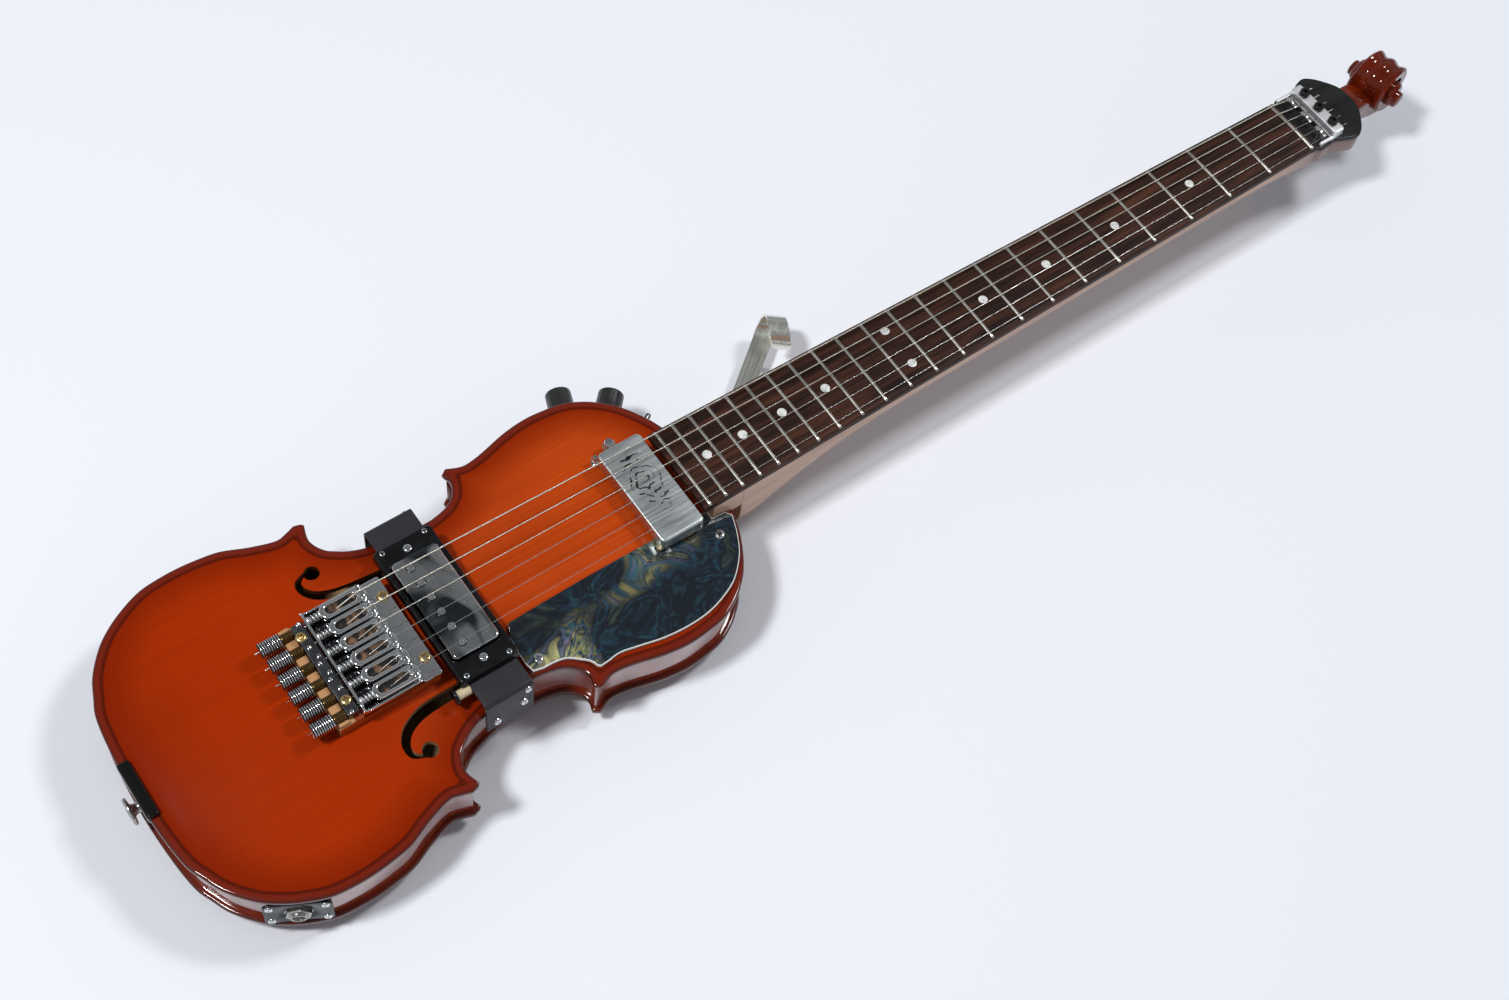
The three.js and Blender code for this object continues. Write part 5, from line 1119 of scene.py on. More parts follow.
for n in (1, 2, 3):
    y = (2 - n) * 2 * tree_spacing
    bar = rounded(y - TREE_HALF, y + TREE_HALF, tree_low, tree_low + 1.5, 0.7)
    bar = upright(cut_sheet(bar, TREE_X - 1.2, TREE_X + 1.2, 0.35), 2, 0, 1)
    post = lathe([(0, HEAD_TOP), (0.9, HEAD_TOP)] + [(radius, tree_low + rise) for radius, rise in TREE_POST], 20)
    build(f"string_tree_bar_{n}", [bar, moved(post, TREE_X, y, 0)], [chrome], f"string_tree_{n}")

# Bridge block
# A block of pale wood that lifts the bridge off the belly. Its front and sides are varnished with the
# body, and the rear end with its string grooves is left bare.
PLATE_HALF = 33.4
BRIDGE_FRONT = -640.0
BRIDGE_REAR = -686.5
RISER_HALF = PLATE_HALF - 1
RISER_TOP = -4.5
RISER_REAR = BRIDGE_REAR - 14
FINGER_TOP = RISER_TOP + 2.4
BAR_FRONT = BRIDGE_REAR - 0.8
BAR_REAR = BAR_FRONT - 6.7
GROOVE_HALF = 3.1
block_varnish = wood("block_varnish", (176, 72, 20), (128, 44, 12), (60, 8, 300), 0.35, 0.7, 0.25, coat=0.7, bump=0.03)
block_bare = wood("block_bare", (196, 152, 104), (158, 112, 70), (60, 8, 320), 0.35, 0.75, 0.6)


def riser_shape():
    """The block over the arch of the belly: a grid of columns whose feet follow the arch."""
    xs = [RISER_REAR, RISER_REAR + 0.5, *np.linspace(RISER_REAR + 1, BRIDGE_FRONT - 2, 15)]
    xs = np.array(xs + [BRIDGE_FRONT - 1.3, BRIDGE_FRONT - 1])
    ys = [-RISER_HALF, -RISER_HALF + 0.4, *np.linspace(-RISER_HALF + 1, RISER_HALF - 1, 21)]
    ys = np.array(ys + [RISER_HALF - 0.4, RISER_HALF])
    rows, columns = len(xs), len(ys)
    x, y = [table.ravel() for table in np.meshgrid(xs, ys, indexing="ij")]
    edge = np.min([x - xs[0], xs[-1] - x, y - ys[0], ys[-1] - y], axis=0)
    high = RISER_TOP - 0.5 * np.clip(1 - edge / 0.4, 0, 1)
    foot = np.minimum(PLATE_TOP + TOP_RISE * arch(x, y) - 0.4, high - 0.5)
    vertices = np.vstack([np.column_stack([x, y, high]), np.column_stack([x, y, foot])])
    count = rows * columns
    faces, slots = [], []
    for a in range(rows - 1):
        for i in range(a * columns, (a + 1) * columns - 1):
            cell = (i, i + columns, i + columns + 1, i + 1)
            faces += [cell, tuple(count + k for k in cell[:1] + cell[:0:-1])]
            slots += [int(xs[a] < BAR_REAR), 0]
    rim = list(range(columns)) + [a * columns + columns - 1 for a in range(1, rows)]
    rim += [(rows - 1) * columns + b for b in range(columns - 2, -1, -1)]
    rim += [a * columns for a in range(rows - 2, 0, -1)]
    for i, j in zip(rim, rim[1:] + rim[:1]):
        faces.append((i, j, count + j, count + i))
        slots.append(int(max(x[i], x[j]) < RISER_REAR + 0.1))
    return vertices, faces, slots


riser_parts = [riser_shape()]
groove_edges = [string_place(i) * SPACING_BRIDGE + side * GROOVE_HALF for i in range(STRING_COUNT) for side in (-1, 1)]
groove_edges = [-RISER_HALF + 0.3] + groove_edges + [RISER_HALF - 0.3]
for y0, y1 in zip(groove_edges[::2], groove_edges[1::2]):
    riser_parts.append(brick(RISER_REAR + 0.2, BAR_REAR - 0.3, y0, y1, RISER_TOP - 0.6, FINGER_TOP, 0.7, 0.4, 1))
build("bridge_block", riser_parts, [block_varnish, block_bare], "bridge_riser")

# Bridge plate
# A chromed steel plate with low sides and a tall rear lip with round ends. Two brass cross-head
# screws at the front hold it down.
PLATE_LOW = -4.2
PLATE_HIGH = -2.6
RIM = 1.2
LIP_TOP = PLATE_HIGH + 7.1
LIP_ROUND = 4
RIM_TOP = PLATE_HIGH + 3.1
RIM_ROUND = 2.5
RIM_REAR = [(4.5, 0), (2.2, 0.9), (0.9, 2.4), (0.1, 2.6)]
SADDLE_FRONT = -650.5
SADDLE_REAR = -677.5
PLATE_SCREWS = [[(-643.7, -21.3, PLATE_HIGH)], [(-643.7, 21.3, PLATE_HIGH)]]


def arc(x, y, radius, start, end, count):
    """Points of an arc, with the turn counted from the y axis towards x."""
    return [(x + radius * math.sin(t), y + radius * math.cos(t)) for t in np.linspace(start, end, count)]


def stand(shape, foot, axis):
    """A shape made on the z axis, turned to an axis and set on its foot."""
    lean = Vector(axis).to_track_quat("Z", "Y").to_matrix()
    return shape[0] @ np.array(lean).T + foot, shape[1], shape[2]


def cross_head(radius, height):
    """The head of a cross-slot screw: a low dome on a cone, with a tapered cross sunk into it."""
    profile = [(0.4, -0.55 * radius), (0.96, -0.04 * radius), (1, 0), (0.97, 0.35 * height), (0.86, 0.75 * height)]
    rings = [level(circle(radius * share, 32), z) for share, z in profile + [(0.72, height)]]
    arm = np.array([(0.52, 0.13), (0.13, 0.13), (0.13, 0.52)]) * radius
    plus = np.vstack([arm * (1, 1), arm[::-1] * (-1, 1), arm * (-1, -1), arm[::-1] * (1, -1)])
    return slotted(rings, plus, 0.72, 0.42 * radius)


def combine(material, operation, first, second):
    return add(material, "Math", {"operation": operation}, n0=first, n1=second).outputs["Value"]


plate_parts = [brick(BRIDGE_REAR + 0.2, BRIDGE_FRONT, -PLATE_HALF, PLATE_HALF, PLATE_LOW, PLATE_HIGH, 1.2, 0.4)]
lip_end = [(PLATE_HALF, PLATE_LOW)] + arc(PLATE_HALF - LIP_ROUND, LIP_TOP - LIP_ROUND, LIP_ROUND, math.pi / 2, 0, 8)
lip = np.array([(-y, z) for y, z in lip_end[:1]] + lip_end + [(-y, z) for y, z in lip_end[:0:-1]])
plate_parts.append(upright(cut_sheet(lip, BRIDGE_REAR, BRIDGE_REAR + RIM + 0.2, 0.45), 2, 0, 1))
plate_side = [(BRIDGE_REAR + 0.1, PLATE_LOW + 0.1), (SADDLE_FRONT, PLATE_LOW + 0.1)]
plate_side += arc(SADDLE_FRONT - RIM_ROUND, RIM_TOP - RIM_ROUND, RIM_ROUND, math.pi / 2, 0, 6)
plate_side += [(BRIDGE_REAR + x, RIM_TOP + z) for x, z in RIM_REAR]
for y in (-PLATE_HALF, PLATE_HALF - RIM):
    plate_parts.append(upright(cut_sheet(plate_side, y, y + RIM, 0.35), 0, 2, 1))
plate_chrome = metal("plate_chrome", (222, 224, 225), 0.05, 0.14, 90.0)
# The plate's floor under and behind the saddles is painted dark grey: a painted reflection of the shaded saddle
# undersides and lip. The raised rim and lip stay bright.
in_front = span(plate_chrome, 0, -679, -655)
raised = span(plate_chrome, 2, PLATE_HIGH + 0.2, PLATE_HIGH + 1.5)
outside_painted_shade = combine(plate_chrome, "MAXIMUM", in_front, raised)
dress(plate_chrome, Base_Color=blend_in(plate_chrome, (62, 63, 66), (222, 224, 225), outside_painted_shade))
build("bridge_base", plate_parts, [plate_chrome], "bridge_plate")
brass = metal("brass", (222, 194, 138), 0.16, 0.3, 220.0)
repeat("plate_screws", cross_head(3.4, 1.3), brass, PLATE_SCREWS)

# Saddles
# Six cast saddles in bright chrome, long loops open in the middle, each with two socket screws that
# set its height. A long screw through the lip and a coil spring set its place.
SADDLE_LOW = -0.5
SADDLE_HIGH = 3.4
SADDLE_HALF = 4.7
SADDLE_WALL = 2.1
CREST_HALF = 2.6
HEIGHT_SCREW_SIDE = 3.1
INTONATION_Z = ANCHOR_Z + 4.0
SPRING_START = BRIDGE_REAR + RIM + 0.4


def coil(length, radius, turns, wire):
    """A helical spring along x with a closed turn at each end."""
    share = np.linspace(0, 1, int(turns * 20))
    angle = share * turns * 2 * np.pi
    closed_turn = 1 / turns * 0.8
    eased = np.interp(share, (0, closed_turn, 1 - closed_turn, 1), (0, 0.04, 0.96, 1))
    return tube(np.column_stack([eased * length, radius * np.cos(angle), radius * np.sin(angle)]), wire, 8)


def saddle_crest(y, top):
    """The rounded bar under the string, with a fine notch for it."""
    rings = []
    for t in np.linspace(0, 1, 9):
        lift = SADDLE_HIGH - 0.6 + (top - SADDLE_HIGH + 0.6) * math.sin(math.pi * t) ** 0.6
        half = [(-CREST_HALF, SADDLE_HIGH - 1), (-CREST_HALF * 0.9, lift - 0.25), (-0.4, lift)]
        section = half + [(0, lift - 0.12)] + [(-aside, z) for aside, z in half[::-1]]
        rings.append([(BREAK_X - 1.5 + 3 * t, y + aside, z) for aside, z in section])
    return skin(rings)


# The floor of each saddle's opening is a thin sheet in this finish, near black with tan spots mixed by noise: painted
# shade with painted reflections of the wooden block.
saddle_shade_paint = metal("saddle_shade_and_reflection", (60, 48, 40), 0.4, 0.6, 150.0, metallic=0.3)
mottle(saddle_shade_paint, (20, 18, 18), (114, 84, 62), object_place(saddle_shade_paint), 230.0, 1.0, 0.48, 0.62)
small_steel = metal("small_steel", (190, 192, 192), 0.12, 0.28, 260.0)
spring_wire = metal("spring_wire", (238, 239, 239), 0.26, 0.4, 260.0)
for i in range(STRING_COUNT):
    y = string_place(i) * SPACING_BRIDGE
    body = f"saddle_body_{i + 1}"
    outline = rounded(SADDLE_REAR, SADDLE_FRONT, y - SADDLE_HALF, y + SADDLE_HALF, 4.0, 8)
    half = SADDLE_HALF - SADDLE_WALL
    opening = rounded(SADDLE_REAR + 3.2, BREAK_X - 1.2, y - half, y + half, 2.6, 8)
    # A thin sheet under the opening carries the painted shade and reflection.
    shade_sheet = rounded(SADDLE_REAR + 3.0, BREAK_X - 1.0, y - half - 0.2, y + half + 0.2, 2.6, 8)
    parts = [
        cut_sheet(outline, SADDLE_LOW, SADDLE_HIGH, 0.9, holes=[opening]),
        saddle_crest(y, BREAK_Z - string_radius(i) - 0.15),
        cut_sheet(shade_sheet, SADDLE_LOW + 0.1, SADDLE_LOW + 0.7, 0.1, which=1),
    ]
    build(f"saddle_loop_{i + 1}", parts, [chrome, saddle_shade_paint], f"saddle_{i + 1}", body)
    heights = []
    for side in (-1, 1):
        for part in socket_screw(1.25, 1.2, 1.0, 5.6, 1.1, 0.9):
            heights.append(moved(part, BREAK_X + 2.2, y + side * HEIGHT_SCREW_SIDE, SADDLE_HIGH + 0.1))
    build(f"saddle_screws_{i + 1}", heights, [small_steel], body=body)
    rod = lathe([(0, 0), (1.15, 0), (1.15, 9.4), (0, 9.4)], 20)
    rod = stand(rod, (BRIDGE_REAR + RIM + 0.1, y, INTONATION_Z), (1, 0, 0))
    build(f"intonation_screw_{i + 1}", [rod], [small_steel])
    spring = moved(coil(SADDLE_REAR - 0.1 - SPRING_START, 1.95, 5, 0.42), SPRING_START, y, INTONATION_Z)
    spring = make_mesh(f"saddle_spring_{i + 1}", spring[0], spring[1], [spring_wire], spring[2])
    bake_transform(spring)

# Tuner bar and tuners
# A dark nickel bar behind the bridge takes the strings through six bores, with two brass wood screws
# and pairs of lock screws. Behind it six ribbed chrome barrels turn on brass necks.
BAR_HALF = 30.0
BAR_LOW = -4.5
BAR_TOP = 0.7
BAR_SCREW_SIDE = 21.6
BAR_SCREWS = [[(-692.0, BAR_SCREW_SIDE, BAR_TOP)], [(-690.5, -BAR_SCREW_SIDE, BAR_TOP)]]
LOCK_SCREW_X = -690.4
BARREL_START = BAR_REAR - 0.3
BARREL_NECK = 6.6
BARREL_END = BARREL_NECK + 13.0
BARREL_RADIUS = 4.5
BARREL_BORE = 1.0
BARREL_RIBS = 9
NECK_RINGS = 5
NECK_PITCH = 1.15
dark_nickel = metal("dark_nickel", (112, 114, 118), 0.14, 0.3, 140.0)
bar_part = brick(BAR_REAR, BAR_FRONT, -BAR_HALF, BAR_HALF, BAR_LOW, BAR_TOP, 1.0, 0.5)
build("string_bar", [bar_part], [dark_nickel], "tuner_bar")
repeat("bar_screws", cross_head(3.2, 1.4), brass, BAR_SCREWS)
lock_places = []
for i in range(STRING_COUNT):
    for side in (-1, 1):
        y = string_place(i) * SPACING_BRIDGE + side * 2.0
        if abs(abs(y) - BAR_SCREW_SIDE) > 4.2:
            lock_places.append([(LOCK_SCREW_X + side * 0.9, y, BAR_TOP)])
repeat("lock_screws", socket_screw(1.15, 0.9, 0.9, 0.6, 1.0, 0.7)[0], small_steel, lock_places)


def barrel():
    """The ribbed barrel, with the bottoms of its grooves in a second finish."""
    profile = [(BARREL_BORE, BARREL_NECK), (BARREL_BORE, BARREL_END), (3.2, BARREL_END), (3.7, BARREL_END - 0.2)]
    pitch = (BARREL_END - BARREL_NECK - 1.2) / BARREL_RIBS
    for rib_number in range(BARREL_RIBS):
        for k in range(7):
            radius = BARREL_RADIUS - 0.85 * (1 - math.sin(math.pi * k / 7) ** 0.7)
            profile.append((radius, BARREL_END - 0.6 - pitch * (rib_number + k / 7)))
    profile += [(3.6, BARREL_NECK + 0.2), (3.2, BARREL_NECK)]
    vertices, faces = lathe(profile, 40, closed=True)[:2]
    radii = [np.hypot(*vertices[list(face)].mean(axis=0)[:2]) for face in faces]
    return vertices, faces, [2 if 3.6 < radius < BARREL_RADIUS - 0.2 else 0 for radius in radii]


def barrel_neck():
    profile = [(BARREL_BORE, 0.1), (BARREL_BORE, BARREL_NECK + 0.4), (2.2, BARREL_NECK + 0.4)]
    for n in range(NECK_RINGS):
        profile += [(radius, z - n * NECK_PITCH) for radius, z in ((1.9, 5.9), (2.6, 5.6), (2.6, 5.1), (1.9, 4.8))]
    return lathe(profile + [(1.9, 0.1)], 28, 1, closed=True)


aged_brass = metal("aged_brass", (138, 116, 74), 0.2, 0.38, 300.0)
# The bottoms of the barrel grooves are given a darker finish.
groove_dark = roughen(finish("darker_groove_finish", (30, 30, 31), 0.6), 500.0, 0.5, 0.7)
for i in range(STRING_COUNT):
    foot = (BARREL_START, string_place(i) * SPACING_BRIDGE, ANCHOR_Z)
    parts = [stand(part, foot, (-1, 0, 0)) for part in (barrel(), barrel_neck())]
    finishes = [chrome, aged_brass, groove_dark]
    build(f"tuner_ribbed_{i + 1}", parts, finishes, f"tuner_barrel_{i + 1}", f"tuner_{i + 1}")

# Pickguard
# Laminated plastic, white under a dark swirled shell pattern, so its bevelled edge shows as a white
# line. It is bent over the arch and screwed down at both ends.
GUARD_LOW = PLATE_TOP + SEAT_GAP
GUARD_HIGH = GUARD_LOW + 2.4
GUARD_GRID = 3.2
GUARD_STEP = 3.0
GUARD_CURVE = [
    (0.979, 0.315), (0.967, 0.42), (0.949, 0.53), (0.917, 0.64), (0.887, 0.692), (0.853, 0.727), (0.813, 0.737),
    (0.77, 0.724), (0.73, 0.692), (0.699, 0.67), (0.678, 0.677), (0.664, 0.68),
]
GUARD_TAIL_CURVE = [(0.66, 0.667), (0.656, 0.63), (0.643, 0.586), (0.628, 0.546), (0.61, 0.531), (0.592, 0.528)]
GUARD_END = [(0.575, 0.515), (0.571, 0.46), (0.571, 0.385), (0.571, 0.315), (0.582, 0.235)]
GUARD_NOTCHES = [
    (-498.8, -23.6), (-498.8, -30.9), (-476.2, -30.9), (-476.2, -23.4), (-464.8, -23.3), (-464.8, -28.6),
    (-456.2, -28.6),
]
GUARD_SCREWS = [(-467.0, -39.0), (-591.2, -48.4)]
DEEP_TONES = [
    (0.26, (12, 18, 26)), (0.36, (20, 34, 48)), (0.42, (24, 50, 62)), (0.46, (14, 22, 30)), (0.51, (18, 28, 38)),
    (0.56, (28, 60, 74)), (0.6, (20, 30, 46)), (0.64, (14, 20, 28)), (0.7, (50, 62, 52)), (0.78, (22, 34, 52)),
]
PEARL_TONES = [
    (0.28, (40, 96, 116)), (0.36, (150, 150, 92)), (0.42, (34, 70, 96)), (0.47, (196, 190, 130)), (0.5, (60, 84, 90)),
    (0.54, (150, 134, 160)), (0.58, (44, 110, 130)), (0.63, (176, 166, 96)), (0.69, (70, 70, 110)),
    (0.78, (206, 204, 178)),
]
guard_outer = smooth_line(body_points(GUARD_CURVE, -1), 90)
guard_inner = smooth_line(body_points(GUARD_TAIL_CURVE, -1), 30)
guard_end = spaced(body_points(GUARD_END, -1), GUARD_STEP, 1)
guard_top = spaced([guard_end[-1]] + GUARD_NOTCHES, GUARD_STEP, 1)


def guard_shape():
    """The sheet, bent over the arch: its bevelled edge shows the white ply, but not along its square cuts."""
    outline = np.vstack([guard_outer, guard_inner, guard_end, guard_top[1:]])
    vertices, faces, slots = cut_sheet(outline, GUARD_LOW, GUARD_HIGH, 0.45, edge=1, grid=GUARD_GRID)
    middles = np.array([vertices[list(face)][:, :2].mean(axis=0) for face in faces])
    square = distance_to(middles, np.vstack([guard_end, guard_top])) < 1.6
    vertices[:, 2] += TOP_RISE * arch(vertices[:, 0], vertices[:, 1])
    return vertices, faces, [0 if cut else which for cut, which in zip(square, slots)]


shell = finish("shell_plastic", (24, 38, 48), 0.12, coat=0.6, Coat_Roughness=0.03)
shell_place = object_place(shell, (1, 1.25, 1))
drift = add(shell, "TexNoise", Vector=shell_place, Scale=24.0, Detail=1.0).outputs["Color"]
shift = add(shell, "VectorMath", {"operation": "MULTIPLY_ADD"}, n0=drift, n1=(0.05, 0.05, 0.05), n2=shell_place)
folds = noise(shell, shift.outputs["Vector"], 42.0, 2.5, Roughness=0.5, Distortion=0.9)
film = noise(shell, shift.outputs["Vector"], 120.0, 3.0, Roughness=0.6, Distortion=1.5)
glow = share_of(shell, noise(shell, shell_place, 17.0, 1.0), 0.49, 0.63)
deep_tone = color_bands(shell, folds, DEEP_TONES)
deep_tone = blend_in(shell, deep_tone, (14, 20, 28), share_of(shell, film, 0.42, 0.6, 0.0, 0.75))
patches = combine(shell, "MULTIPLY", glow, share_of(shell, film, 0.34, 0.56))
dress(shell, Base_Color=blend_in(shell, deep_tone, color_bands(shell, folds, PEARL_TONES), patches))
white_ply = roughen(finish("white_ply", (232, 232, 226), 0.35), 300.0, 0.3, 0.45)
build("pickguard_plate", [guard_shape()], [shell, white_ply], "pickguard")
guard_screws = [[(x, y, GUARD_HIGH - 0.1 + TOP_RISE * arch(x, y))] for x, y in GUARD_SCREWS]
repeat("guard_screws", cross_head(3.1, 1.2), chrome, guard_screws)

# Pickups
# Two humbuckers under drawn metal covers. The neck one stands on height screws with springs and its
# satin cover carries an etched pattern, and the bridge one is mirror chrome with six pole screws.
PICKUP_LENGTH = 66.0
PICKUP_WIDTH = 28.0
PICKUP_HEIGHT = 9.5
NECK_PICKUP = -487.5
NECK_PICKUP_TOP = -0.9
BRIDGE_PICKUP = -618.5
BRIDGE_PICKUP_TOP = 1.8
POLE_X = -623.8
POLE_PITCH = 10.3
FOOT_TOP = NECK_PICKUP_TOP - PICKUP_HEIGHT
FOOT_BOTTOM = (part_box("neck_pickup_base")[0].z - NUT.z) / MM + 0.2
PICKUP_SCREWS = [
    [(NECK_PICKUP - 1.2, 39.0, -8.6)],
    [(-500.4, 35.4, -9.2), (0, 0, 0), (0.55, 0.55, 0.8)],
    [(-498.4, -35.0, -9.6), (0, 0, 0), (0.5, 0.5, 0.8)],
]
PICKUP_SPRINGS = [(NECK_PICKUP - 1.2, 39.0, -15.6, -10.8), (-500.4, 35.4, -15.4, -9.9)]


def pickup_cover(x, top):
    half = PICKUP_LENGTH / 2
    outline = rounded(x - PICKUP_WIDTH / 2, x + PICKUP_WIDTH / 2, -half, half, 3.0, 8)
    return cut_sheet(outline, top - PICKUP_HEIGHT, top, 1.1)


def slot_head(radius, height):
    """A flat screw head with a straight slot."""
    profile = [(0.96, -height), (1, 0), (1, height * 0.5), (0.93, height)]
    cut = np.array([(1, 1), (-1, 1), (-1, -1), (1, -1)]) * (0.84 * radius, 0.14 * radius)
    return slotted([level(circle(radius * share, 32), z) for share, z in profile], cut, 1, 0.8 * height)


etched = finish("etched_cover", (168, 176, 176), 0.34, metallic=1.0)
pattern_middle = tuple(-value for value in at(NECK_PICKUP, 5, NECK_PICKUP_TOP))
pattern_place = add(etched, "Mapping", Vector=object_place(etched), Location=pattern_middle).outputs["Vector"]
curls = add(
    etched, "TexWave", {"wave_type": "RINGS", "rings_direction": "Z"}, Vector=pattern_place, Scale=84.0,
    Distortion=8.0, Detail=2.0, Detail_Scale=1.4,
).outputs["Fac"]
leaves = noise(etched, pattern_place, 120.0, 2.0, Distortion=1.2)
lines = combine(etched, "MULTIPLY", share_of(etched, curls, 0.78, 0.9), share_of(etched, leaves, 0.4, 0.47))
widened = add(etched, "Mapping", Vector=pattern_place, Scale=(1.6, 0.72, 1)).outputs["Vector"]
reach = add(etched, "VectorMath", {"operation": "LENGTH"}, n0=widened).outputs["Value"]
figure = combine(etched, "MULTIPLY", lines, share_of(etched, reach, 0.0135, 0.0165, 1.0, 0.0))
satin = noise(etched, object_place(etched, (40, 900, 40)), 1.0, 2.0)
dress(
    etched, Base_Color=blend_in(etched, (206, 212, 212), (62, 68, 69), figure),
    Roughness=share_of(etched, satin, 0.3, 0.7, 0.26, 0.4),
)
build("neck_pickup_shell", [pickup_cover(NECK_PICKUP, NECK_PICKUP_TOP)], [etched], "neck_pickup_cover")
nickel = metal("dull_nickel", (150, 140, 112), 0.3, 0.5, 160.0)
foot_parts = [
    brick(NECK_PICKUP - 10.9, NECK_PICKUP + 10.9, -30.5, 30.5, FOOT_BOTTOM, FOOT_TOP + 0.4, 1.0, 0.3),
    brick(NECK_PICKUP - 5.2, NECK_PICKUP + 2.8, 29, 42.6, FOOT_TOP - 0.6, FOOT_TOP + 0.5, 3.6, 0.2),
    brick(NECK_PICKUP - 15.4, NECK_PICKUP - 8, -32.4, -27, FOOT_TOP - 0.6, FOOT_TOP + 0.5, 2.0, 0.2),
]
build("neck_pickup_frame", foot_parts, [nickel], "neck_pickup_base")
repeat("pickup_side_screws", cross_head(3.2, 1.8), chrome, PICKUP_SCREWS)
for n, (x, y, foot, top) in enumerate(PICKUP_SPRINGS, 1):
    spring = moved(upright(coil(top - foot, 1.9, 4, 0.35), 1, 2, 0), x, y, foot)
    build(f"pickup_spring_{n}", [spring], [small_steel])
mirror = metal("mirror_chrome", (160, 163, 164), 0.03, 0.08, 60.0)
# Dark and bright patches mixed by noise are painted reflections on the mirror chrome.
painted_reflection_place = object_place(mirror, (1, 0.6, 1))
mottle(mirror, (84, 90, 93), (212, 214, 214), painted_reflection_place, 34.0, 1.5, 0.44, 0.56, Distortion=1.4)
cover = pickup_cover(BRIDGE_PICKUP, BRIDGE_PICKUP_TOP)
build("bridge_pickup_shell", [cover], [mirror], "bridge_pickup_cover")
pole_places = [[(POLE_X, string_place(i) * POLE_PITCH, BRIDGE_PICKUP_TOP)] for i in range(STRING_COUNT)]
repeat("pole_screws", slot_head(2.3, 1.0), chrome, pole_places)
# A thin black disc round each pole screw is a painted shadow for the gap between screw and cover.
pole_shade_disc = lathe([(0, -0.3), (2.75, -0.3), (2.75, 0.06), (0, 0.06)], 28)
repeat("pole_gaps", pole_shade_disc, black_screw, pole_places, wobble=0.0)

# Pickup ring and bracket
# A glossy black moulded ring holds the bridge pickup on a folded sheet-steel bracket, painted black,
# that straddles the waist. Its edges are worn to grey, and screws through its sides hold it.
RING_LENGTH = 92.0
RING_WIDTH = 36.5
RING_LOW = -6.6
RING_TOP = -1.1
RING_TAPER = 0.9
RING_GAP = 0.4
BRACKET_X0 = -632.0
BRACKET_X1 = -603.0
BRACKET_HALF = (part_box("pickup_bracket")[1].y - NUT.y) / MM
SHEET_THICKNESS = 1.6
SHEET_TOP = RING_LOW - 0.02
SHEET_FOOT = SHEET_TOP - 29.0
FOLD = 2.6
SIDE_SCREWS = [(-625.8, -28.5, 1), (-609.1, -23.1, 1), (-606.6, -11.2, 0.9)]
SPACER = (-640.5, -46.6, -9.2)
WASHER = (-642.0, -46.6, -9.2)


def ring_shape():
    """The frame round the pickup, with an outside that leans in to its top."""
    half_x, half_y = PICKUP_WIDTH / 2 + RING_GAP, PICKUP_LENGTH / 2 + RING_GAP
    hole = rounded(BRIDGE_PICKUP - half_x, BRIDGE_PICKUP + half_x, -half_y, half_y, 3.2)
    aside = RING_WIDTH / 2
    outline = rounded(BRIDGE_PICKUP - aside, BRIDGE_PICKUP + aside, -RING_LENGTH / 2, RING_LENGTH / 2, 2.0)
    vertices, faces, slots = cut_sheet(outline, RING_LOW, RING_TOP, 0.7, holes=[hole])
    share = (vertices[:, 2] - RING_LOW) / (RING_TOP - RING_LOW)
    away = vertices[:, :2] - (BRIDGE_PICKUP, 0)
    outside = (np.abs(away) > (half_x + 0.8, half_y + 0.8)).any(axis=1)
    vertices[:, :2] -= np.sign(away) * (RING_TAPER * share * outside)[:, None]
    return vertices, faces, slots


def folded_line(radius):
    """One skin of the folded sheet seen from its end, from foot to foot."""
    side, turns = FOLD - BRACKET_HALF, np.linspace(0, math.pi / 2, 8)
    half = [(side - radius, SHEET_FOOT)]
    half += [(side - radius * math.cos(t), SHEET_TOP - FOLD + radius * math.sin(t)) for t in turns]
    return half + [(-y, z) for y, z in half[::-1]]


ring_plastic = finish("ring_plastic", (12, 13, 15), 0.2, Specular_IOR_Level=0.3)
roughen(ring_plastic, 120.0, 0.16, 0.34, bump=0.03)
build("pickup_surround", [ring_shape()], [ring_plastic], "pickup_ring")
ring_screws = [[(x, side * 42.6, RING_TOP - 0.1)] for x in (-631.5, -605.5) for side in (-1, 1)]
repeat("ring_screws", cross_head(1.7, 0.6), small_steel, ring_screws)
height_screws = [[(BRIDGE_PICKUP, side * 38.2, RING_TOP - 0.1)] for side in (-1, 1)]
repeat("height_screws", cross_head(2.6, 1.2), chrome, height_screws)
painted_sheet = finish("painted_sheet", (18, 18, 20), 0.3, Specular_IOR_Level=0.18)
scuffs = noise(painted_sheet, object_place(painted_sheet), 180.0, 5.0, Roughness=0.7)
worn = add(painted_sheet, "Attribute", {"attribute_name": "worn"}).outputs["Fac"]
worn = combine(painted_sheet, "ADD", share_of(painted_sheet, scuffs, 0.6, 0.8, 0.0, 0.15), worn)
dress(
    painted_sheet, Base_Color=blend_in(painted_sheet, (9, 9, 11), (60, 60, 64), worn),
    Roughness=share_of(painted_sheet, scuffs, 0.3, 0.7, 0.26, 0.42),
)
folded = cut_sheet(folded_line(FOLD) + folded_line(FOLD - SHEET_THICKNESS)[::-1], BRACKET_X0, BRACKET_X1, 0.25)
bracket = build("bracket_sheet", [upright(folded, 2, 0, 1)], [painted_sheet], "pickup_bracket")
x, y, z = ((np.array([vertex.co for vertex in bracket.data.vertices]) - NUT) / MM).T
near_edge = np.minimum(x - BRACKET_X0, BRACKET_X1 - x) < 0.4
near_fold = (np.abs(y) > BRACKET_HALF - FOLD) & (z > SHEET_TOP - FOLD)
wear = bracket.data.attributes.new("worn", "FLOAT", "POINT")
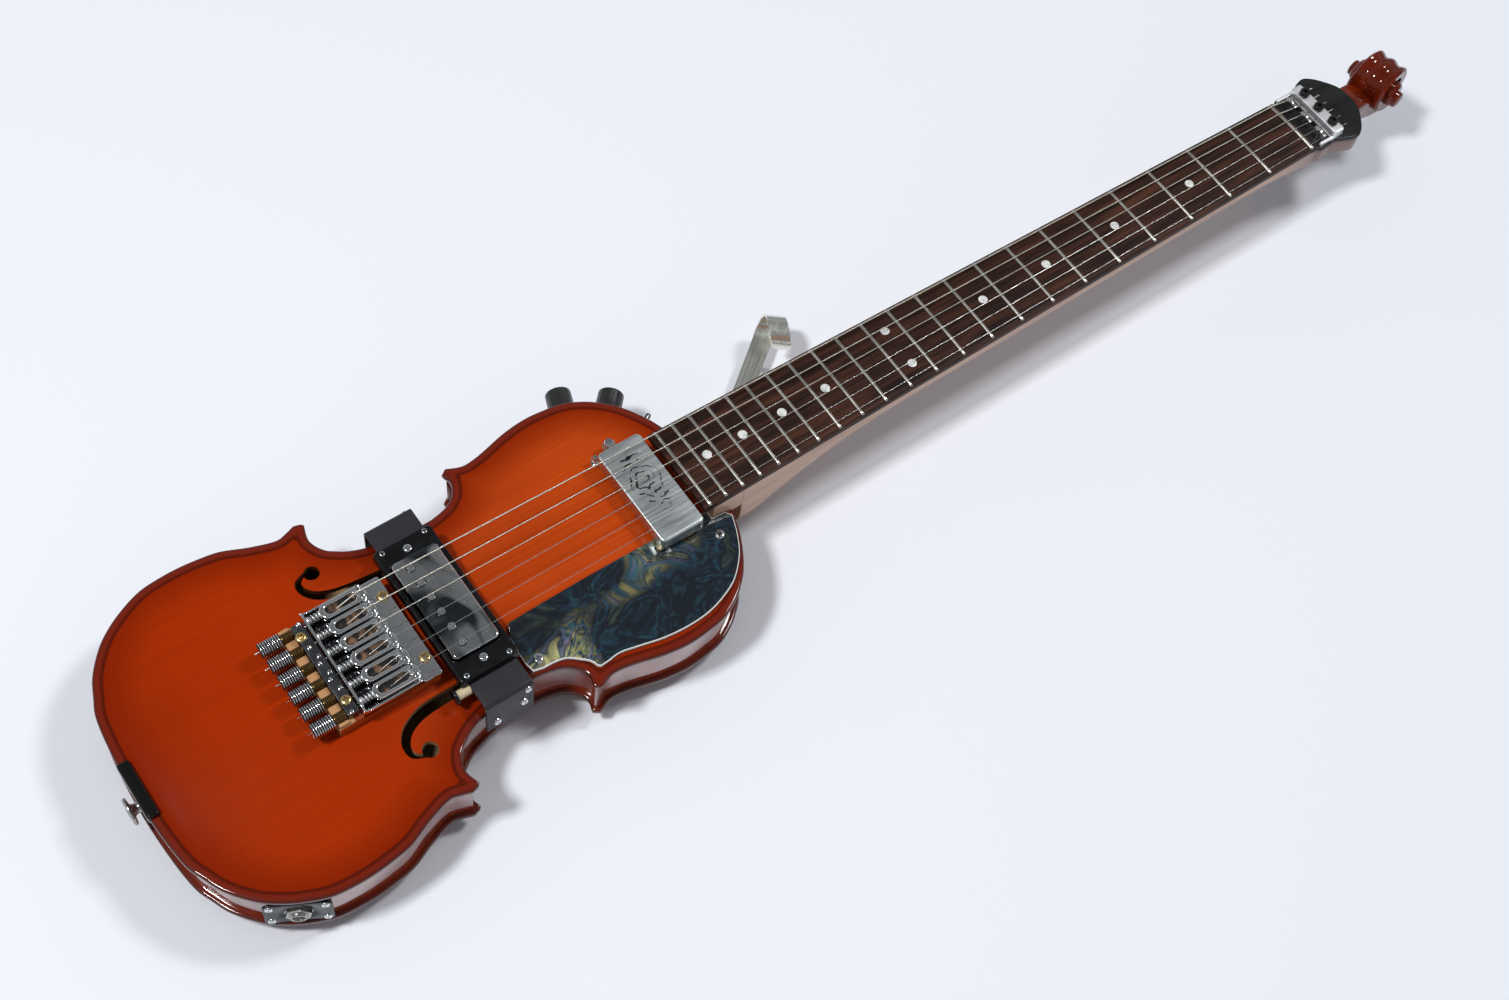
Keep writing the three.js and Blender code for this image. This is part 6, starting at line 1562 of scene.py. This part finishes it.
wear.data.foreach_set("value", (0.5 * near_edge + 0.1 * near_fold).astype(np.float32))
side_places = []
for side in (-1, 1):
    for x, z, size in SIDE_SCREWS:
        side_places.append([(x, side * (BRACKET_HALF - 0.05), z), (-side * math.pi / 2, 0, 0), (size, size, size)])
repeat("bracket_screws", cross_head(2.5, 1.3), chrome, side_places)
cream = roughen(finish("cream_plastic", (206, 192, 160), 0.45), 400.0, 0.4, 0.6, bump=0.2)
thread = lathe([(0, 0)] + [(2.4 + 0.5 * (n % 2), n * 0.6) for n in range(15)] + [(0, 8.4)], 24)
washer = lathe([(0, 0), (4.4, 0), (4.6, 0.3), (4.6, 1.3), (4.4, 1.6), (0, 1.6)], 32, 1)
spacer_parts = [stand(thread, SPACER, (1, 0, 0)), stand(washer, WASHER, (1, 0, 0))]
build("threaded_spacer", spacer_parts, [cream, ring_plastic])

# Tail saddle and strap button
# A strip of ebony let into the edge of the belly, and a turned steel button for the strap, screwed
# into the end block.
STRAP_FOOT = (-799.2, 0.0, -36.5)
BUTTON_PROFILE = [
    (0, -10), (2, -10), (2, 0.2), (4.6, 0.3), (4.4, 1.0), (3.3, 1.8), (2.9, 3.4), (3.1, 5.2), (3.8, 6.2), (7.2, 6.6),
    (7.8, 7.0), (8.0, 7.6), (7.8, 8.3), (7.1, 8.7), (3.4, 8.8), (3.2, 8.4), (0, 8.4),
]
ebony = wood(
    "ebony", (15, 13, 13), (8, 7, 7), (60, 12, 300), 0.4, 0.7, 0.22, coat=0.5, bump=0.05, Specular_IOR_Level=0.1,
)
tail_strip = cut_sheet(rounded(TAIL - 0.5, TAIL + 6.5, -17.5, 17.5, 1.6), -23.3, -15.8, 1.3)
build("tail_strip", [tail_strip], [ebony], "tail_saddle")
steel = metal("steel", (168, 168, 162), 0.16, 0.3, 120.0)
button = stand(lathe(BUTTON_PROFILE, 48), STRAP_FOOT, (-1, 0, 0))
build("strap_pin", [button], [steel], "strap_button")

# Jack plate and socket
# A pressed plate with an oval recess, black chromed and held by four screws to the lower rib. The
# socket comes through the recess under a hexagonal nut.
JACK_FOOT = (-761.72, -91.973, -38.0)
JACK_OUT = (-0.471483, -0.881875, 0.0)
DISH_RINGS = [
    ((11.0, 8.8), 1.5), ((10.4, 8.2), 1.55), ((9.4, 7.4), 1.0), ((7.6, 6.4), 0.6), ((7.6, 6.4), 0.32),
    ((11.0, 8.8), 0.32),
]


def fitted(shape, foot, out):
    """A shape made on a flat side, moved to its place on a rib: z points out and y up."""
    return shape[0] @ (np.cross((0, 0, 1), out), (0, 0, 1), out) + foot, shape[1], shape[2]


black_chrome = metal("black_chrome", (56, 59, 62), 0.14, 0.28, 140.0)
jack_parts = [
    cut_sheet(rounded(-17.5, 17.5, -12.2, 12.2, 3.2), 0.3, 1.7, 0.5, holes=[circle((10.6, 8.4))]),
    # The recess and its floor take the black plastic finish, darker than the black chrome plate: painted shade in the
    # recess.
    skin([level(circle(half), z) for half, z in DISH_RINGS], 1, closed=True),
    cut_sheet(circle((7.9, 6.7)), 0.31, 0.62, 0.05, which=1),
]
jack_parts = [fitted(part, JACK_FOOT, JACK_OUT) for part in jack_parts]
build("jack_cover", jack_parts, [black_chrome, ring_plastic], "jack_plate")
jack_corners = np.array([(x, y, 1.65) for x in (-14, 14) for y in (-8.6, 8.6)])
jack_lean = Vector(JACK_OUT).to_track_quat("Z", "Y").to_euler()
jack_places = [[place, jack_lean] for place in fitted((jack_corners, [], []), JACK_FOOT, JACK_OUT)[0]]
repeat("jack_screws", cross_head(2.2, 1.0), chrome, jack_places)
socket_parts = [
    cut_sheet(circle(12.6 / math.sqrt(3), 6, 0.3), 1.0, 3.4, 0.4, holes=[circle(4.5, 32)]),
    lathe([(4.4, 0.62), (7.2, 0.62), (7.2, 1.1), (4.4, 1.1)], 40, closed=True),
    lathe([(3.2, -6), (4.6, -6), (4.6, 4.4), (4.2, 4.9), (3.5, 4.9), (3.2, 4.5)], 40, closed=True),
    lathe([(0, -6.2), (3.25, -6.2), (3.25, 1.2), (3.0, 1.2), (3.0, -5.8), (0, -5.8)], 32, 1),
]
dark_inside = roughen(finish("dark_inside", (16, 16, 17), 0.6), 200.0, 0.5, 0.7)
socket_parts = [fitted(part, JACK_FOOT, JACK_OUT) for part in socket_parts]
build("jack_nut", socket_parts, [steel, dark_inside], "jack_socket")

# Controls
# Two fluted black plastic knobs on potentiometers and a small chromed bat lever, all through the
# upper bass rib. The pots and the switch body sit inside and only their nuts and bushes show.
CONTROL_Z = -37.0
KNOBS = [
    ("volume", (-491.97, 77.819, CONTROL_Z), (0.340714, 0.940167, 0)),
    ("tone", (-472.981, 65.438, CONTROL_Z), (0.694677, 0.719322, 0)),
]
KNOB_FLUTES = 24
KNOB_SIDES = 144
KNOB_RINGS = [
    (4.6, 7.2, 0), (4.6, 7.9, 0), (4.9, 8.1, 0), (6.2, 8.1, 0), (6.5, 7.95, 0), (6.9, 7.9, 0.3), (12.0, 7.8, 0.32),
    (18.4, 7.65, 0.32), (18.8, 7.65, 0.1), (19.2, 7.65, 0), (20.1, 7.55, 0), (20.4, 7.3, 0), (20.5, 6.9, 0),
    (20.3, 6.5, 0),
]
TOGGLE_FOOT = (-461.578, 49.62, CONTROL_Z)
TOGGLE_OUT = (0.880019, 0.474938, 0)
LEVER_PROFILE = [
    (0, 0.8), (1.3, 0.8), (1.3, 3.0), (1.45, 9.0), (1.7, 13.2), (1.72, 14.4), (1.5, 15.2), (0.9, 15.7), (0, 15.8),
]


def knob_shape():
    turns = np.linspace(0, 2 * np.pi, KNOB_SIDES, endpoint=False)
    flute = 0.5 - 0.5 * np.abs(np.cos(turns * KNOB_FLUTES / 2)) ** 0.6
    return skin([
        level(circle(1, KNOB_SIDES) * (radius - depth * flute)[:, None], z) for z, radius, depth in KNOB_RINGS
    ])


knob_plastic = roughen(finish("knob_plastic", (26, 26, 27), 0.35, coat=0.2), 160.0, 0.28, 0.45, bump=0.04)
pointer_paint = roughen(finish("pointer_paint", (214, 212, 204), 0.5), 500.0, 0.4, 0.6)
knob_parts = [
    knob_shape(), lathe([(0, -4.7), (3, -4.7), (3, 5.4), (0, 5.4)], 28),
    cut_sheet(rounded(-0.4, 0.4, 2.0, 6.4, 0.3), 20.2, 20.6, 0.05, which=1),
]
for label, foot, out in KNOBS:
    parts = [fitted(part, foot, out) for part in knob_parts]
    build(
        f"{label}_grip", parts, [knob_plastic, pointer_paint], f"{label}_knob", f"{label}_control",
    )
    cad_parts[f"{label}_pot"].data.materials[0] = steel
lever_steel = metal("lever_steel", (132, 134, 137), 0.2, 0.34, 140.0)
lever = fitted(lathe(LEVER_PROFILE, 28), TOGGLE_FOOT, TOGGLE_OUT)
build("switch_lever", [lever], [lever_steel], "toggle_lever", "pickup_switch")
switch_case = metal("switch_case", (120, 122, 124), 0.3, 0.5, 200.0, metallic=0.7)
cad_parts["toggle_body"].data.materials[0] = switch_case

# Leg rest
# A stainless strip under the back, hinged on one screw at the neck end so that it swings out, with
# its free end curled up into a hook that rests on the leg.
LEG_PIVOT = -449.76
LEG_ANGLE = math.radians(37.2)
LEG_HALF = 6.0
LEG_THICKNESS = 1.5
LEG_LOW = -55.2 - LEG_THICKNESS
HOOK_FOLD = 121.7
HOOK_RADIUS = 10.3
HOOK_TURN = math.radians(292)
HOOK_SKEW = math.radians(13.7)
HOOK_END = HOOK_FOLD + HOOK_RADIUS * HOOK_TURN / math.cos(HOOK_SKEW)


def heading(angle):
    """The level directions along and across an angle."""
    return np.array([(math.cos(angle), math.sin(angle), 0), (math.sin(angle), -math.cos(angle), 0)])


def strip_point(reach, aside, depth):
    """A point of the flat strip, rolled up where it lies past the fold."""
    (along, across), (roll, axle) = heading(LEG_ANGLE), heading(LEG_ANGLE + HOOK_SKEW)
    flat = along * (reach - HOOK_FOLD) + across * aside
    ahead, sideways = flat.dot(roll), flat.dot(axle)
    turn, radius = max(ahead / HOOK_RADIUS, 0), HOOK_RADIUS - depth
    fold = (LEG_PIVOT, 0, LEG_LOW + HOOK_RADIUS - radius * math.cos(turn)) + along * HOOK_FOLD + axle * sideways
    return fold + roll * (min(ahead, 0) + radius * math.sin(turn))


def strip_ring(reach, half):
    """The section of the strip: a flat bar with its corners rounded."""
    flat = half - min(0.35, half / 2)
    ring = [(w, 0) for w in np.linspace(-flat, flat, 9)] + [(half, 0.25), (half, 0.75)]
    ring += [(w, 1) for w in np.linspace(flat, -flat, 9)] + [(-half, 0.75), (-half, 0.25)]
    return np.array([strip_point(reach, w, share * LEG_THICKNESS) for w, share in ring])


brushed = finish("brushed_steel", (226, 227, 218), 0.3, metallic=1.0)
brush_turned = add(brushed, "Mapping", Vector=object_place(brushed), Rotation=(0, 0, -LEG_ANGLE)).outputs["Vector"]
brush_place = add(brushed, "Mapping", Vector=brush_turned, Scale=(9, 700, 700)).outputs["Vector"]
dress(brushed, Roughness=share_of(brushed, noise(brushed, brush_place, 1.0, 3.0), 0.3, 0.7, 0.22, 0.32))
stations = [(LEG_HALF * math.cos(t), LEG_HALF * math.sin(t)) for t in np.linspace(math.pi * 0.96, math.pi / 2, 10)]
stations += [(reach, LEG_HALF) for reach in np.linspace(4, HOOK_FOLD - 4, 12)]
stations += [(reach, LEG_HALF) for reach in np.linspace(HOOK_FOLD - 2.5, HOOK_END - LEG_HALF, 52)]
for t in np.linspace(0.1, math.pi * 0.46, 10):
    stations.append((HOOK_END - LEG_HALF * (1 - math.sin(t)), LEG_HALF * math.cos(t)))
strip = skin([strip_ring(*station) for station in stations])
build("leg_rest_strip", [strip], [brushed], "leg_rest", "leg_rest_arm")
pivot_head = stand(cross_head(4.0, 2.0), (LEG_PIVOT, 0, LEG_LOW - 0.3), (0, 0, -1))
pivot_shank = lathe([(0, LEG_LOW - 0.5), (2, LEG_LOW - 0.5), (2, LEG_LOW + 8.5), (0, LEG_LOW + 8.5)], 24)
pivot_parts = [pivot_head, moved(pivot_shank, LEG_PIVOT, 0, 0)]
build("leg_pivot_screw", pivot_parts, [chrome], "leg_rest_screw")

size = {"cad": cad_box, "visual": [list(corner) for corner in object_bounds()]}
